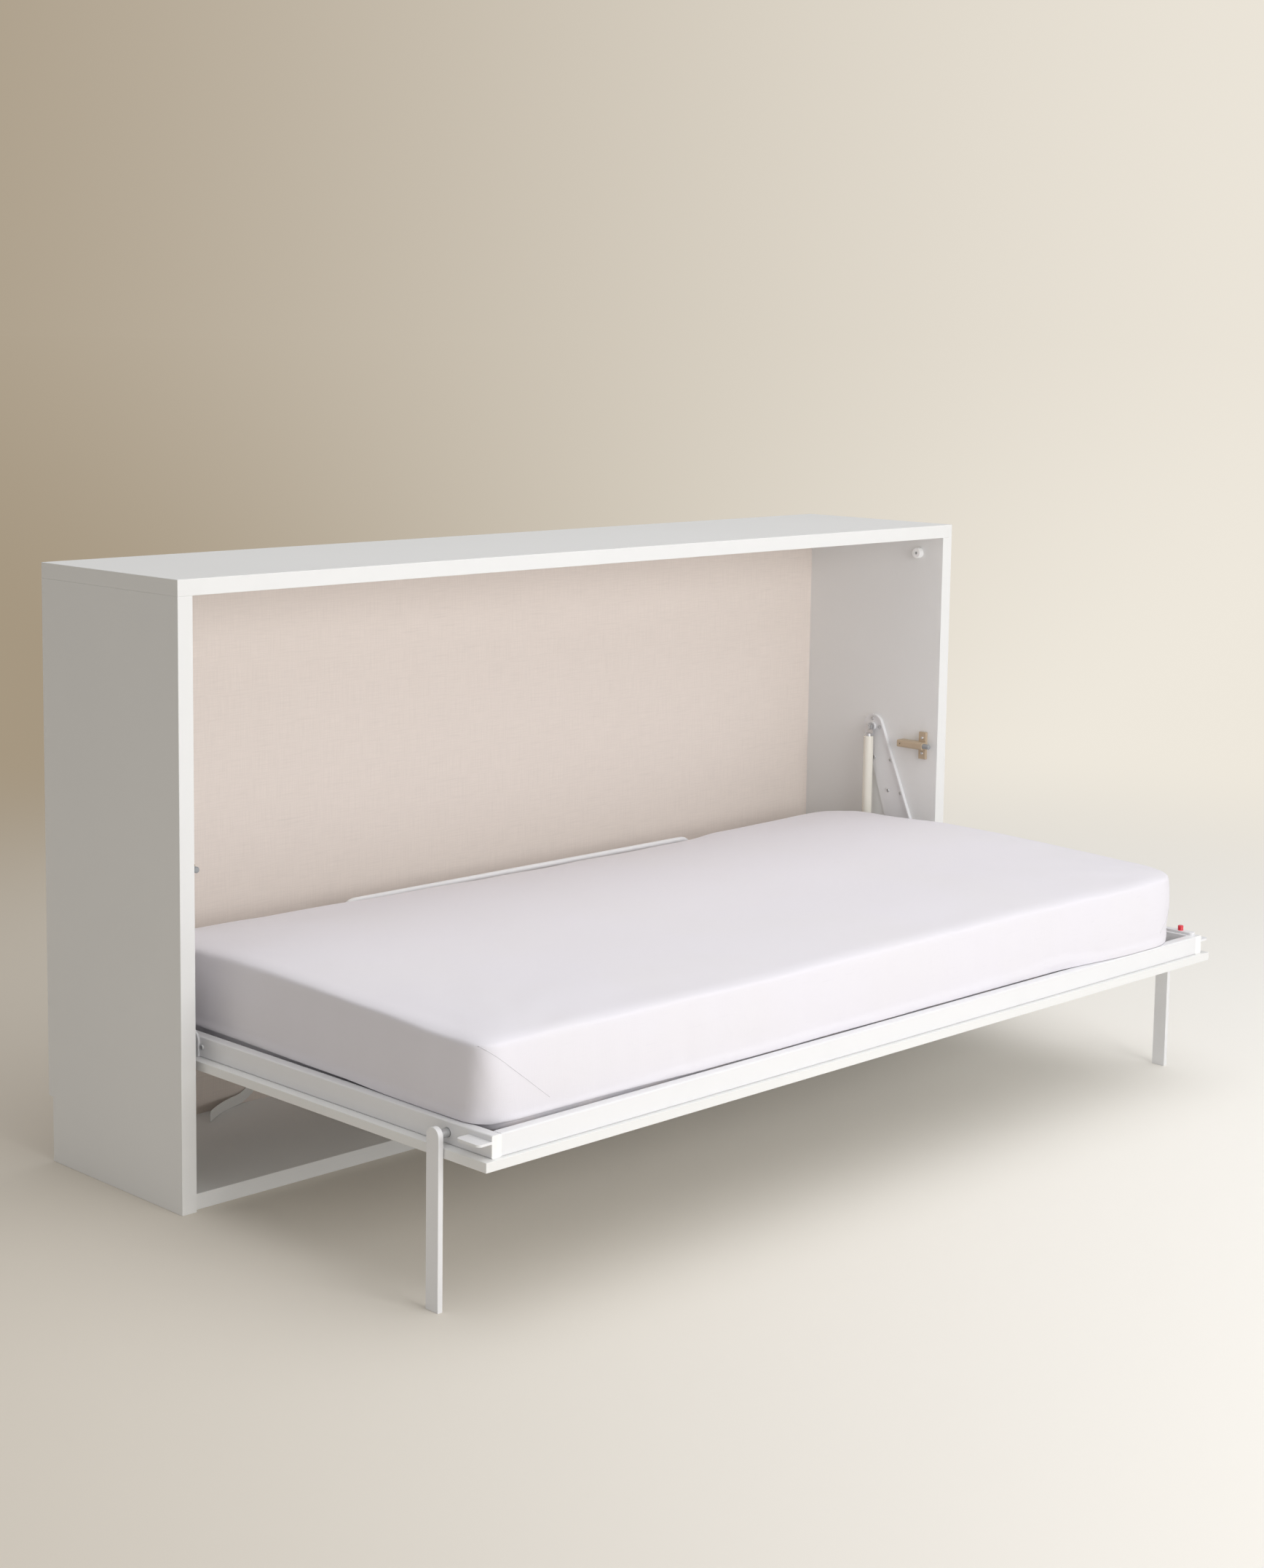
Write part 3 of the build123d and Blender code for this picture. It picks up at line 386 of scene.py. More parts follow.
class MattressForm:
    """Maps the faces of a plain block to the sheeted mattress, in metres.

    Points of the block and x and y of most methods are measured from the mattress's middle.
    A height share is 1 at the top of the mattress and 0 at its foot.
    """

    def __init__(self, settings):
        low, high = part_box("mattress")
        self.settings = settings
        self.half_x = (high.x - low.x) / 2
        self.half_y = (high.y - low.y) / 2
        self.middle = (low + high) / 2
        self.bottom = low.z + FOOT_GAP
        self.top = high.z - settings.crown
        self.height = self.top - self.bottom
        self.rail_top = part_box("front_rail")[1].z

    def block(self):
        """A block of quads with the mattress's length and width."""
        mesh = bmesh.new()
        size = (2 * self.half_x, 2 * self.half_y, self.height)
        bmesh.ops.create_cube(mesh, size=1.0)
        bmesh.ops.scale(mesh, vec=size, verts=mesh.verts)
        for axis, cuts in enumerate(BLOCK_CUTS):
            edges = [edge for edge in mesh.edges if self.runs_along(edge, axis)]
            bmesh.ops.subdivide_edges(mesh, edges=edges, cuts=cuts, use_grid_fill=True)
        return mesh

    @staticmethod
    def runs_along(edge, axis):
        step = edge.verts[1].co - edge.verts[0].co
        return abs(step[axis]) > 0.5 * step.length

    def lean(self, x, y, height_share):
        """How far an end of the mattress stands out from the CAD end at a point."""
        s = self.settings
        front_share = smoothstep(-y, -self.half_y, self.half_y)
        skew = s.skew_rear + (s.skew_front - s.skew_rear) * front_share
        if x >= 0:
            skew *= -s.skew_right_share
        return skew * (1 + s.skew_top_share * height_share)

    def front_lean(self, x, height_share):
        """How far the front stands out: a swell near the right end, slack at the left foot."""
        s = self.settings
        bulge = s.front_bulge * smoothstep(x, 0.50 * self.half_x, 0.78 * self.half_x)
        slack = s.front_slack * smoothstep(-x, 0.3 * self.half_x, self.half_x)
        return (s.front_lean + bulge - slack * (1 - height_share)) * (1 - 0.45 * height_share)

    def place(self, point):
        """The sheet's point for a point on the block's surface."""
        x, y, z = point
        inset = max(min(self.half_x - abs(x), self.half_y - abs(y)), 0)
        on_end = self.half_x - abs(x) <= self.half_y - abs(y)
        at_top = z > self.height / 2 - ON_FACE
        top_room, foot_room = self.corner_radii(x)
        if z < -self.height / 2 + ON_FACE:
            offset, drop = self.bottom_offset(inset), self.height
        else:
            travel = -inset if at_top else self.height / 2 - z
            edge = self.edge_radius(x, y, inset, top_room)
            offset, drop = self.profile(travel, inset, edge, self.hem_gap(x, y, on_end))
        height_share = 1 - drop / self.height
        room = top_room + (foot_room - top_room) * smoothstep(1 - height_share, 0.0, 0.95)
        corner = max(room - 0.5 * max(offset, 0), LEAST_CORNER)
        ring_x = self.half_x - offset
        ring_y = self.half_y - offset
        px = x * ring_x / (self.half_x - inset)
        py = y * ring_y / (self.half_y - inset)
        px, py, normal = self.round_corner(px, py, ring_x, ring_y, corner, on_end)
        out = self.lean(px, py, height_share) * normal.x ** 2
        if py < 0:
            out += self.front_lean(px, height_share) * normal.y ** 2
        if out > 0:
            out *= smoothstep(self.top - drop - self.rail_top, *LEAN_HEIGHTS)
        fade = 1 - smoothstep(offset, *LEAN_FADE)
        px += normal.x * out * fade
        py += normal.y * out * fade
        crown = self.crown_height(px, py) if at_top else 0
        height = self.top - drop + crown - self.rear_dip(px, py, height_share)
        height += self.end_rise(px, py) * smoothstep(height_share, 0.2, 1.0)
        return Vector((self.middle.x + px, self.middle.y + py, height))

    def corner_radii(self, x):
        """Radius of the corners at the left or the right, at the top and at the foot."""
        s = self.settings
        if x < 0:
            return s.corner_top, s.corner
        return s.corner_right_top, s.corner_right

    def edge_radius(self, x, y, inset, room):
        """Radius of the top edge, which passes round a corner from an end's to a long side's."""
        s = self.settings
        turn = self.corner_turn(x, y, inset, room)
        long_edge = s.edge_front if y < 0 else s.edge_rear
        return s.edge_end + (long_edge - s.edge_end) * math.sin(turn) ** 2

    def profile(self, travel, inset, edge, gap):
        """Inward offset and drop over the top, round its edge and down the side.

        Travel is negative on the block's top, 0 at its edge, and positive down its side.
        """
        arc = edge * math.pi / 4
        if travel <= -arc:
            reach = min(self.half_x, self.half_y)
            return edge + (inset - arc) * (reach - edge) / (reach - arc), 0
        if travel < arc:
            angle = (travel + arc) / (2 * arc) * math.pi / 2
            return edge * (1 - math.sin(angle)), edge * (1 - math.cos(angle))
        return self.side_path((travel - arc) / (self.height - arc), edge, gap)

    def corner_turn(self, x, y, inset, room):
        """0 on the ends, a quarter turn on the long sides, and between them round a corner."""
        dx = max(abs(x) - (self.half_x - inset - room), 0)
        dy = max(abs(y) - (self.half_y - inset - room), 0)
        return math.atan2(dy, dx)

    def bottom_offset(self, inset):
        hem = self.settings.hem_tuck
        return hem + inset * (1 - hem / min(self.half_x, self.half_y))

    def crown_height(self, x, y):
        """How far the middle of the top rises above its edge."""
        rise_x = 1 - abs(x / self.half_x) ** 4
        return self.settings.crown * rise_x * (1 - abs(y / self.half_y) ** 3)

    def rear_dip(self, x, y, height_share):
        """How far the hoop behind the mattress holds down its rear edge."""
        s = self.settings
        span = 1 - smoothstep(abs(x), s.hoop_half - 0.03, s.hoop_half + 0.05)
        reach = 1 - smoothstep(self.half_y - y, 0.0, 0.10)
        growth = 0.6 + 0.4 * x / s.hoop_half
        return s.hoop_dip * span * growth * reach * smoothstep(height_share, 0.5, 1.0)

    def end_rise(self, x, y):
        """How far the ends of the top stand above its middle, most about halfway along them."""
        s = self.settings
        halfway = smoothstep(y, -self.half_y, 0.0) * (1 - 0.8 * smoothstep(y, 0.12, self.half_y))
        rise = s.rise_corner + (s.rise_right if x > 0 else s.rise_left) * halfway
        return rise * smoothstep(abs(x), 0.45 * self.half_x, self.half_x)

    def hem_gap(self, x, y, on_end):
        """Height of the hem's turn above the rails, which grows on the left end and near it."""
        s = self.settings
        along = y + 3 if on_end else x
        gap = s.hem_gap * (1 + 1.4 * waves(along * 9, 3.3, 0.4))
        if on_end:
            rise = smoothstep(y, -0.24, -0.10) + 0.2 * smoothstep(-y, 0.32, 0.42)
        else:
            rise = smoothstep(-x, self.half_x - 0.50, self.half_x - 0.20)
        return max(gap, LEAST_GAP) + (s.hem_rise * rise if x < 0 else 0)

    def side_path(self, share, edge, gap):
        """Inward offset and drop down the side: a soft belly, then the hem, drawn in and under."""
        s = self.settings
        radius = s.hem_radius
        hem_drop = self.top - (self.rail_top + gap + radius)
        if share < HEM_SHARE:
            down = share / HEM_SHARE
            return -s.belly * math.sin(math.pi * down), edge + (hem_drop - edge) * down
        if share < TURN_SHARE:
            angle = (share - HEM_SHARE) / (TURN_SHARE - HEM_SHARE) * math.pi / 2
            return radius * (1 - math.cos(angle)), hem_drop + radius * math.sin(angle)
        down = (share - TURN_SHARE) / (1 - TURN_SHARE)
        tuck = min(down * 3, 1)
        fall = max(down - 1 / 3, 0) * 1.5
        drop = hem_drop + radius + (self.height - hem_drop - radius) * fall
        return radius + (s.hem_tuck - radius) * tuck, drop

    @staticmethod
    def round_corner(x, y, ring_x, ring_y, corner, on_end):
        """A point of a ring with its corner rounded, and the outward direction there."""
        dx = abs(x) - (ring_x - corner)
        dy = abs(y) - (ring_y - corner)
        sign_x = math.copysign(1, x)
        sign_y = math.copysign(1, y)
        if dx <= 0 or dy <= 0:
            return x, y, Vector((sign_x, 0)) if on_end else Vector((0, sign_y))
        scale = max(dx, dy) / math.hypot(dx, dy)
        x = sign_x * (ring_x - corner + dx * scale)
        y = sign_y * (ring_y - corner + dy * scale)
        return x, y, Vector((sign_x * dx, sign_y * dy)).normalized()

    def fold(self, point, normal):
        """Height of the sheet's creases and undulations above its smooth form."""
        s = self.settings
        x = point.x - self.middle.x
        y = point.y - self.middle.y
        edge_x = self.half_x - abs(x)
        edge_y = self.half_y - abs(y)
        near = max(smoothstep(-edge_x, -0.30, 0), smoothstep(-edge_y, -0.22, 0))
        height = s.undulation * waves(x * 2.2, y * 3.1, point.z * 3.0)
        if normal.z > 0.6:
            height += s.wrinkle * near * waves(x * 9, y * 11, 1.7)
            height += self.corner_tension(edge_x, edge_y)
        else:
            low_share = smoothstep(self.top - point.z, 0.02, 0.14)
            along = y if abs(normal.x) > abs(normal.y) else x
            ripple = waves(along * 16, point.z * 5, 4.1 + abs(normal.x))
            height += s.wrinkle * (0.4 + 1.1 * low_share) * ripple
            height += 0.5 * s.wrinkle * waves(along * 45, point.z * 9, 8.2)
        return height

    def corner_tension(self, edge_x, edge_y):
        """Fine pulls that run from each corner towards the middle of the top."""
        distance = math.hypot(edge_x, edge_y)
        angle = math.atan2(edge_y, edge_x)
        fade = smoothstep(distance, 0.02, 0.10) * (1 - smoothstep(distance, 0.15, 0.7))
        sway = 3 * waves(distance * 6, 0, 0)
        return self.settings.tension * fade * math.sin(angle * 17 + sway)


# The cloth simulation of the sheet.
CLOTH_FRAMES = 20
CLOTH_TENSION = 40
CLOTH_BENDING = 1.5
AIR_PRESSURE = 4.0
HELD_HEIGHT = 12 * MM  # hem that is held, above the rails
FARTHEST_MOVE = 3 * MM


def relax_as_cloth(piece, form):
    """Puffs the sheet with air under pressure, its hem held, and limits how far it moves."""
    before = [vertex.co.copy() for vertex in piece.data.vertices]
    held = piece.vertex_groups.new(name="held")
    limit = form.rail_top + HELD_HEIGHT
    held.add([v.index for v in piece.data.vertices if v.co.z < limit], 1.0, "REPLACE")
    modifier = piece.modifiers.new("sheet", "CLOTH")
    cloth = modifier.settings
    cloth.use_pressure = True
    cloth.uniform_pressure_force = AIR_PRESSURE
    cloth.tension_stiffness = CLOTH_TENSION
    cloth.bending_stiffness = CLOTH_BENDING
    cloth.vertex_group_mass = held.name
    cloth.effector_weights.gravity = 0
    modifier.collision_settings.use_collision = False
    modifier.point_cache.frame_start = 1
    modifier.point_cache.frame_end = CLOTH_FRAMES
    for frame_number in range(1, CLOTH_FRAMES + 1):
        bpy.context.scene.frame_set(frame_number)
    graph = bpy.context.evaluated_depsgraph_get()
    moved = [vertex.co.copy() for vertex in piece.evaluated_get(graph).data.vertices]
    piece.modifiers.remove(modifier)
    piece.vertex_groups.remove(held)
    bpy.context.scene.frame_set(1)
    for vertex, old, new in zip(piece.data.vertices, before, moved):
        step = new - old
        if step.length > FARTHEST_MOVE:
            step = step.normalized() * FARTHEST_MOVE
        vertex.co = old + step


def build_mattress(settings):
    """The fitted sheet with the mattress in it: mapped, relaxed, creased and smoothed."""
    form = MattressForm(settings)
    mesh = form.block()
    for vertex in mesh.verts:
        vertex.co = form.place(vertex.co.copy())
    bmesh.ops.recalc_face_normals(mesh, faces=mesh.faces)
    piece = new_piece("fitted_sheet", mesh, "cotton_sheet", "bed")
    relax_as_cloth(piece, form)
    crease_sheet(piece, form)
    subdivide_once(piece)
    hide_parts("mattress")
    return piece, form


def crease_sheet(piece, form):
    """Presses the creases into the sheet above its hem, and keeps its foot off the slats."""
    mesh = bmesh.new()
    mesh.from_mesh(piece.data)
    mesh.normal_update()
    for vertex in mesh.verts:
        share = smoothstep(vertex.co.z - form.rail_top, *CREASE_HEIGHTS)
        vertex.co += vertex.normal * form.fold(vertex.co, vertex.normal) * share
        vertex.co.z = max(vertex.co.z, form.bottom)
    mesh.to_mesh(piece.data)
    mesh.free()


def surface_of(piece):
    """The piece's surface, with its modifiers, for rays to hit."""
    graph = bpy.context.evaluated_depsgraph_get()
    evaluated = piece.evaluated_get(graph)
    mesh = evaluated.to_mesh()
    tree = BVHTree.FromPolygons([v.co for v in mesh.vertices], [p.vertices for p in mesh.polygons])
    evaluated.to_mesh_clear()
    return tree


def extrude_edges(mesh, edges):
    """Extrudes edges where they are; gives the new vertices and edges."""
    made = bmesh.ops.extrude_edge_only(mesh, edges=edges)["geom"]
    return ([item for item in made if isinstance(item, bmesh.types.BMVert)],
            [item for item in made if isinstance(item, bmesh.types.BMEdge)])


def swept_thread(mesh, points, radius, sides=6):
    """A round thread along points, from a circle that is extruded step by step."""
    edges = []
    for index, point in enumerate(points):
        after = points[min(index + 1, len(points) - 1)]
        matrix = stand(point, (after - points[max(index - 1, 0)]).normalized())
        if not edges:
            ring = bmesh.ops.create_circle(mesh, segments=sides, radius=radius, cap_ends=True,
                                           matrix=matrix)["verts"]
            flat = [matrix.inverted() @ vertex.co for vertex in ring]
            edges = list(ring[0].link_faces[0].edges)
            continue
        ring, edges = extrude_edges(mesh, edges)
        for vertex, place in zip(ring, flat):
            vertex.co = matrix @ place
    bmesh.ops.contextual_create(mesh, geom=edges)
    bmesh.ops.recalc_face_normals(mesh, faces=mesh.faces)


SEAM_START_DROP = 4 * MM
SEAM_END_RISE = 26 * MM
SEAM_STEPS = 60
RAY_START = 0.2


def seam_points(tree, form, settings, side_x, side_y):
    """Points of one corner seam: from the top corner, slanting down the long side to the hem."""
    top = form.top - SEAM_START_DROP
    foot = form.rail_top + SEAM_END_RISE
    points = []
    for step in range(SEAM_STEPS + 1):
        share = step / SEAM_STEPS
        inset = settings.seam_start + (settings.seam_end - settings.seam_start) * share
        x = form.middle.x + side_x * (form.half_x - inset)
        y = form.middle.y + side_y * (form.half_y + RAY_START)
        start = Vector((x, y, top + (foot - top) * share))
        hit = tree.ray_cast(start, Vector((0, -side_y, 0)))[0]
        if hit is not None and abs(hit.y - form.middle.y) > form.half_y - settings.seam_reach:
            points.append(hit)
    return points


def build_seams(sheet, form, settings):
    """The four corner seams of the fitted sheet."""
    tree = surface_of(sheet)
    mesh = bmesh.new()
    for side_x in (-1, 1):
        for side_y in (-1, 1):
            points = seam_points(tree, form, settings, side_x, side_y)
            if len(points) > 2:
                swept_thread(mesh, points, settings.seam_radius)
    new_piece("sheet_seams", mesh, "cotton_sheet", "bed", finish="thread")


STRAP_WIDTH = 20 * MM
STRAP_THICKNESS = 1.6 * MM
BAND_SHARE = 0.9  # how much of that thickness the band takes up
STRAP_BEVEL = 0.35 * MM
STRAIGHT_STEPS = 8
BEND_STEPS = 12
STRAP_COLUMNS = 6


def strap_course():
    """Pairs of places on the strap's outer and inner edge, from its screw to its free end."""
    low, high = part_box("strap")
    screw_low, screw_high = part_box("strap_screw")
    inner_x = (screw_low.x + screw_high.x) / 2 - STRAP_WIDTH / 2
    rear = high.y - STRAP_THICKNESS / 2
    forward = rear - (low.y + STRAP_THICKNESS / 2)
    radius = (high.z - low.z - STRAP_WIDTH) / 2
    outer_radius = radius + STRAP_WIDTH
    knee_x = inner_x - radius
    knee_z = low.z + outer_radius

    def place(x, z):
        """A place of the strap, which leaves the back board in a growing curve."""
        share = min(max((inner_x - x) / (inner_x - low.x), 0), 1)
        return Vector((x, rear - forward * share ** 2, z))

    stations = []
    for step in range(STRAIGHT_STEPS + 1):
        z = high.z - (high.z - knee_z) * step / STRAIGHT_STEPS
        stations.append((place(inner_x + STRAP_WIDTH, z), place(inner_x, z)))
    for step in range(1, BEND_STEPS + 1):
        angle = math.pi / 2 * step / BEND_STEPS
        stations.append(tuple(place(knee_x + r * math.cos(angle), knee_z - r * math.sin(angle))
                              for r in (outer_radius, radius)))
    for step in range(1, BEND_STEPS + 1):
        x = knee_x + (low.x - knee_x) * step / BEND_STEPS
        stations.append((place(x, low.z), place(x, low.z + STRAP_WIDTH)))
    return stations


def build_strap():
    """Webbing band with rounded edges, from a grid that is laid along the strap's course."""
    stations = strap_course()
    steps = len(stations) - 1
    mesh = bmesh.new()
    bmesh.ops.create_grid(mesh, x_segments=steps, y_segments=STRAP_COLUMNS, size=0.5)
    for vertex in mesh.verts:
        outer, inner = stations[round((vertex.co.x + 0.5) * steps)]
        vertex.co = outer.lerp(inner, vertex.co.y + 0.5)
    bmesh.ops.recalc_face_normals(mesh, faces=mesh.faces)
    piece = new_piece("strap_webbing", mesh, "webbing", "cabinet")
    wall = piece.modifiers.new("thickness", "SOLIDIFY")
    wall.thickness = STRAP_THICKNESS * BAND_SHARE
    wall.offset = 0
    edge = piece.modifiers.new("edge", "BEVEL")
    edge.width = STRAP_BEVEL
    edge.segments = 2
    subdivide_once(piece)
    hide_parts("strap")
    middle = [(outer + inner) / 2 for outer, inner in stations]
    length = sum((b - a).length for a, b in zip(middle, middle[1:]))


def solids_of(node):
    """The separate solids of a CAD node, each as its lowest and highest corner."""
    mesh = bmesh.new()
    mesh.from_mesh(frame["nodes"][node].data)
    bmesh.ops.remove_doubles(mesh, verts=mesh.verts, dist=1e-6)
    left = set(mesh.verts)
    boxes = []
    for first in mesh.verts:
        if first not in left:
            continue
        left.remove(first)
        queue, group = [first], []
        while queue:
            vertex = queue.pop()
            group.append(vertex.co.copy())
            for edge in vertex.link_edges:
                other = edge.other_vert(vertex)
                if other in left:
                    left.remove(other)
                    queue.append(other)
        boxes.append([Vector([pick(place[i] for place in group) for i in range(3)])
                      for pick in (min, max)])
    mesh.free()
    return boxes


HEAD_SEGMENTS = 24
SHANK_SEGMENTS = 16
# Rings of a domed head: shares of its height and of its radius.
DOME = ((0.45, 0.98), (0.8, 0.88), (1.0, 0.74))
# The cross recess: half width and reach as shares of the head's radius, the foot's share of them,
# and the foot's share of the head's height.
CROSS_WIDTH = 0.14
CROSS_REACH = 0.52
CROSS_TAPER = 0.7
CROSS_FOOT = 0.35


def cross_loop(mesh, width, reach, z):
    """The edges round a cross recess at one height; width is half that of its slots."""
    quarter = [(reach, -width), (reach, width), (width, width)]
    outline = []
    for _ in range(4):
        outline += quarter
        quarter = [(-y, x) for x, y in quarter]
    verts = [mesh.verts.new((x, y, z)) for x, y in outline]
    return [mesh.edges.new((verts[i - 1], verts[i])) for i in range(len(verts))]


def add_screw(mesh, matrix, head_radius, head_height, shank_radius, shank_length, recess):
    """A screw whose shank points to -Z: a domed head, with a cross recess or plain."""
    part = bmesh.new()
    bmesh.ops.create_circle(part, segments=HEAD_SEGMENTS, radius=head_radius)
    foot = list(part.edges)
    rim = foot
    for rise, narrow in DOME:
        verts, rim = extrude_edges(part, rim)
        for vertex in verts:
            flat = Vector((vertex.co.x, vertex.co.y)).normalized() * head_radius * narrow
            vertex.co = Vector((flat.x, flat.y, head_height * rise))
    if recess:
        cross = cross_loop(part, head_radius * CROSS_WIDTH, head_radius * CROSS_REACH, head_height)
        bmesh.ops.triangle_fill(part, use_beauty=True, edges=rim + cross)
        verts, bottom = extrude_edges(part, cross)
        for vertex in verts:
            vertex.co.xy *= CROSS_TAPER
            vertex.co.z = head_height * CROSS_FOOT
        bmesh.ops.triangle_fill(part, use_beauty=True, edges=bottom)
    else:
        bmesh.ops.contextual_create(part, geom=rim)
    bmesh.ops.create_cone(part, cap_ends=True, segments=SHANK_SEGMENTS, radius1=shank_radius,
                          radius2=shank_radius, depth=shank_length,
                          matrix=Matrix.Translation((0, 0, -shank_length / 2)))
    bmesh.ops.holes_fill(part, edges=foot, sides=0)
    bmesh.ops.recalc_face_normals(part, faces=part.faces)
    part.transform(matrix)
    data = mesh_data("screw", part)
    mesh.from_mesh(data)
    bpy.data.meshes.remove(data)


# Of each node's screws or bolts: the body, the head's height and the shank's radius in mm, and the
# way that the heads face on the right half of the bed; the left half mirrors it.
SCREW_SETS = {
    "mechanism_screws": ("cabinet", 2.5, 2.5, (-1, 0, 0)),
    "damper_screws": ("cabinet", 1.5, 2.0, (-1, 0, 0)),
    "peg_screws": ("cabinet", 3.0, 2.5, (-1, 0, 0)),
    "bracket_bolts": ("bed", 3.0, 3.0, (1, 0, 0)),
    "strap_screw": ("cabinet", 2.0, 2.5, (0, -1, 0)),
    "board_screws": ("bed", 2.0, 2.5, (0, 0, 1)),
    "wall_bracket_screws": ("cabinet", 2.0, 2.5, (0, 0, -1)),
}


def build_screws(node):
    """Screws in the place of a node's plain ones, each turned about its axis by fixed noise."""
    body, head_height, shank_radius, way = SCREW_SETS[node]
    head_height *= MM
    mesh = bmesh.new()
    for low, high in solids_of(node):
        middle = (low + high) / 2
        facing = Vector(way)
        facing.x *= math.copysign(1, middle.x)
        size = high - low
        along = abs(facing.dot(size))
        across = max(size[i] for i in range(3) if abs(facing[i]) < 0.5)
        head_foot = middle + facing * (along / 2 - head_height)
        spin = Matrix.Rotation(noise.noise(middle * 40) * math.pi, 4, "Z")
        matrix = stand(head_foot, facing) @ spin
        add_screw(mesh, matrix, across / 2, head_height, shank_radius * MM, along - head_height,
                  node != "bracket_bolts")
    piece = new_piece(node + "_detail", mesh, "zinc_steel", body, smooth=False)
    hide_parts(node)


def number(name, description, default, kind=FloatProperty, **more):
    return kind(name=name, description=description, default=default, **more)


def measure(name, description, millimetres):
    return number(name, description, millimetres * MM, unit="LENGTH")


def tone(name, description, default):
    return number(name, description, default, FloatVectorProperty, subtype="COLOR")


class FinishSettings(bpy.types.PropertyGroup):
    """Colours of the wall bed's finishes."""

    board: tone("Board", "White melamine of the cabinet and the front board", (0.82, 0.82, 0.81))
    laminate: tone("Laminate", "Linen laminate of the back board", (0.83, 0.745, 0.68))
    steel: tone("Steel", "Powder coat of the bed frame, legs and plates", (0.82, 0.82, 0.83))
    enamel: tone("Enamel", "Cream enamel of the gas springs", (0.85, 0.82, 0.73))
    zinc: tone("Zinc", "Zinc plate of screws, pins and fittings", (0.72, 0.73, 0.74))
    nylon: tone("Nylon", "White nylon of bushes, pegs and plugs", (0.92, 0.92, 0.91))
    black: tone("Black plastic", "Saddles of the slats", (0.03, 0.03, 0.03))
    damper: tone("Damper", "Tan housing of the dampers", (0.52, 0.41, 0.29))
    plunger: tone("Plunger", "Grey plunger of the dampers", (0.32, 0.33, 0.34))
    button: tone("Button", "Red release button", (0.75, 0.04, 0.06))
    beech: tone("Beech", "Slats and dowels", (0.70, 0.50, 0.31))
    cotton: tone("Cotton", "Fitted sheet", (0.785, 0.765, 0.81))
    cotton_tint: tone("Cotton tint", "Faint second shade of the fitted sheet",
                      (0.775, 0.755, 0.775))
    webbing: tone("Webbing", "Strap on the bottom board", (0.86, 0.85, 0.82))


class MattressSettings(bpy.types.PropertyGroup):
    """Shape of the mattress in its fitted sheet."""

    crown: measure("Crown", "Rise of the middle of the top", 7)
    corner: measure("Corner", "Radius of its left corners at the foot", 54)
    corner_top: measure("Corner top", "Radius of its left corners at the top", 20)
    corner_right: measure("Right corner", "Radius of its right corners at the foot", 138)
    corner_right_top: measure("Right corner top", "Radius of its right corners at the top", 106)
    edge_front: measure("Front edge", "Radius of the top edge at the front", 13)
    edge_rear: measure("Rear edge", "Radius of the top edge at the rear", 14)
    edge_end: measure("End edge", "Radius of the top edge on the ends", 13)
    belly: measure("Belly", "How far the sides swell", 3)
    hem_tuck: measure("Hem tuck", "How far the sheet is drawn in at the foot", 7)
    hem_radius: measure("Hem radius", "Radius of the turn at the hem", 1.6)
    hem_gap: measure("Hem gap", "Height of the hem's turn above the rails", 0.5)
    hem_rise: measure("Hem rise", "How far the hem rises at the left", 2.6)
    rise_corner: measure("Rise corner", "How far the top's corners stand up", 3.5)
    rise_left: measure("Rise left", "How much more the left end stands up", 7)
    rise_right: measure("Rise right", "How much more the right end stands up", 12)
    hoop_dip: measure("Hoop dip", "How far the hoop holds down the rear edge", 5)
    hoop_half: measure("Hoop half", "Half the length of the hoop", 478)
    skew_rear: measure("Skew rear", "Lean of the left end at the rear", -5)
    skew_front: measure("Skew front", "Lean of the left end at the front", 12)
    skew_top_share: number("Skew top", "How much more the top leans", 0.9)
    skew_right_share: number("Skew right", "How much the right end follows", 0.3)
    front_lean: measure("Front lean", "How far the front stands out", 4.5)
    front_bulge: measure("Front bulge", "Swell of the front near the right end", 20)
    front_slack: measure("Front slack", "How far the hem draws in at the left", 6)
    undulation: measure("Undulation", "Height of the broad waves", 3.0)
    wrinkle: measure("Wrinkle", "Height of the small wrinkles", 1.6)
    tension: measure("Tension", "Height of the pulls at the corners", 0.5)
    seam_start: measure("Seam start", "Top of the corner seam, from the end", -15)
    seam_end: measure("Seam end", "Foot of the corner seam, from the end", 118)
    seam_reach: measure("Seam reach", "How far a corner seam goes round the corner", 28)
    seam_radius: measure("Seam radius", "Radius of the sewn seam", 0.7)


class StageSettings(bpy.types.PropertyGroup):
    """Camera, lights and floor."""

    place: number("Camera place", "Where the camera stands", (-3.4689, -3.2736, 1.4851),
                  FloatVectorProperty, subtype="XYZ", unit="LENGTH")
    heading: number("Heading", "Turn from +Y to +X", math.radians(44.18), subtype="ANGLE")
    pitch: number("Pitch", "Look down from level", math.radians(7.19), subtype="ANGLE")
    roll: number("Roll", "Turn about the line of sight", math.radians(0.64), subtype="ANGLE")
    focal_share: number("Focal share", "Focal length over the picture's height", 3511.7 / 2154)
    shift_x: number("Shift X", "Sideways shift of the lens", 0.041)
    shift_y: number("Shift Y", "Upward shift of the lens", -0.082)
    # Painted light: the floor's colour is darker at the left and lighter at the right.
    floor_shaded_left: tone("Floor left", "Colour of the floor at the left", (0.66, 0.60, 0.51))
    floor_lit_right: tone("Floor right", "Colour of the floor at the right", (0.96, 0.945, 0.905))
    # Painted light: the backdrop's colour is darker at the left and lighter at the right.
    backdrop_shaded_left: tone("Backdrop left", "Colour behind the object, at the left",
                        (0.38, 0.31, 0.22))
    backdrop_lit_right: tone("Backdrop right", "Colour behind it, at the right", (0.86, 0.81, 0.72))
    ambient: number("Ambient", "Strength of the light from all round", 0.43)
    front: number("Front light", "Power of the light in front", 112, unit="POWER")
    above: number("Top light", "Power of the light above", 165, unit="POWER")


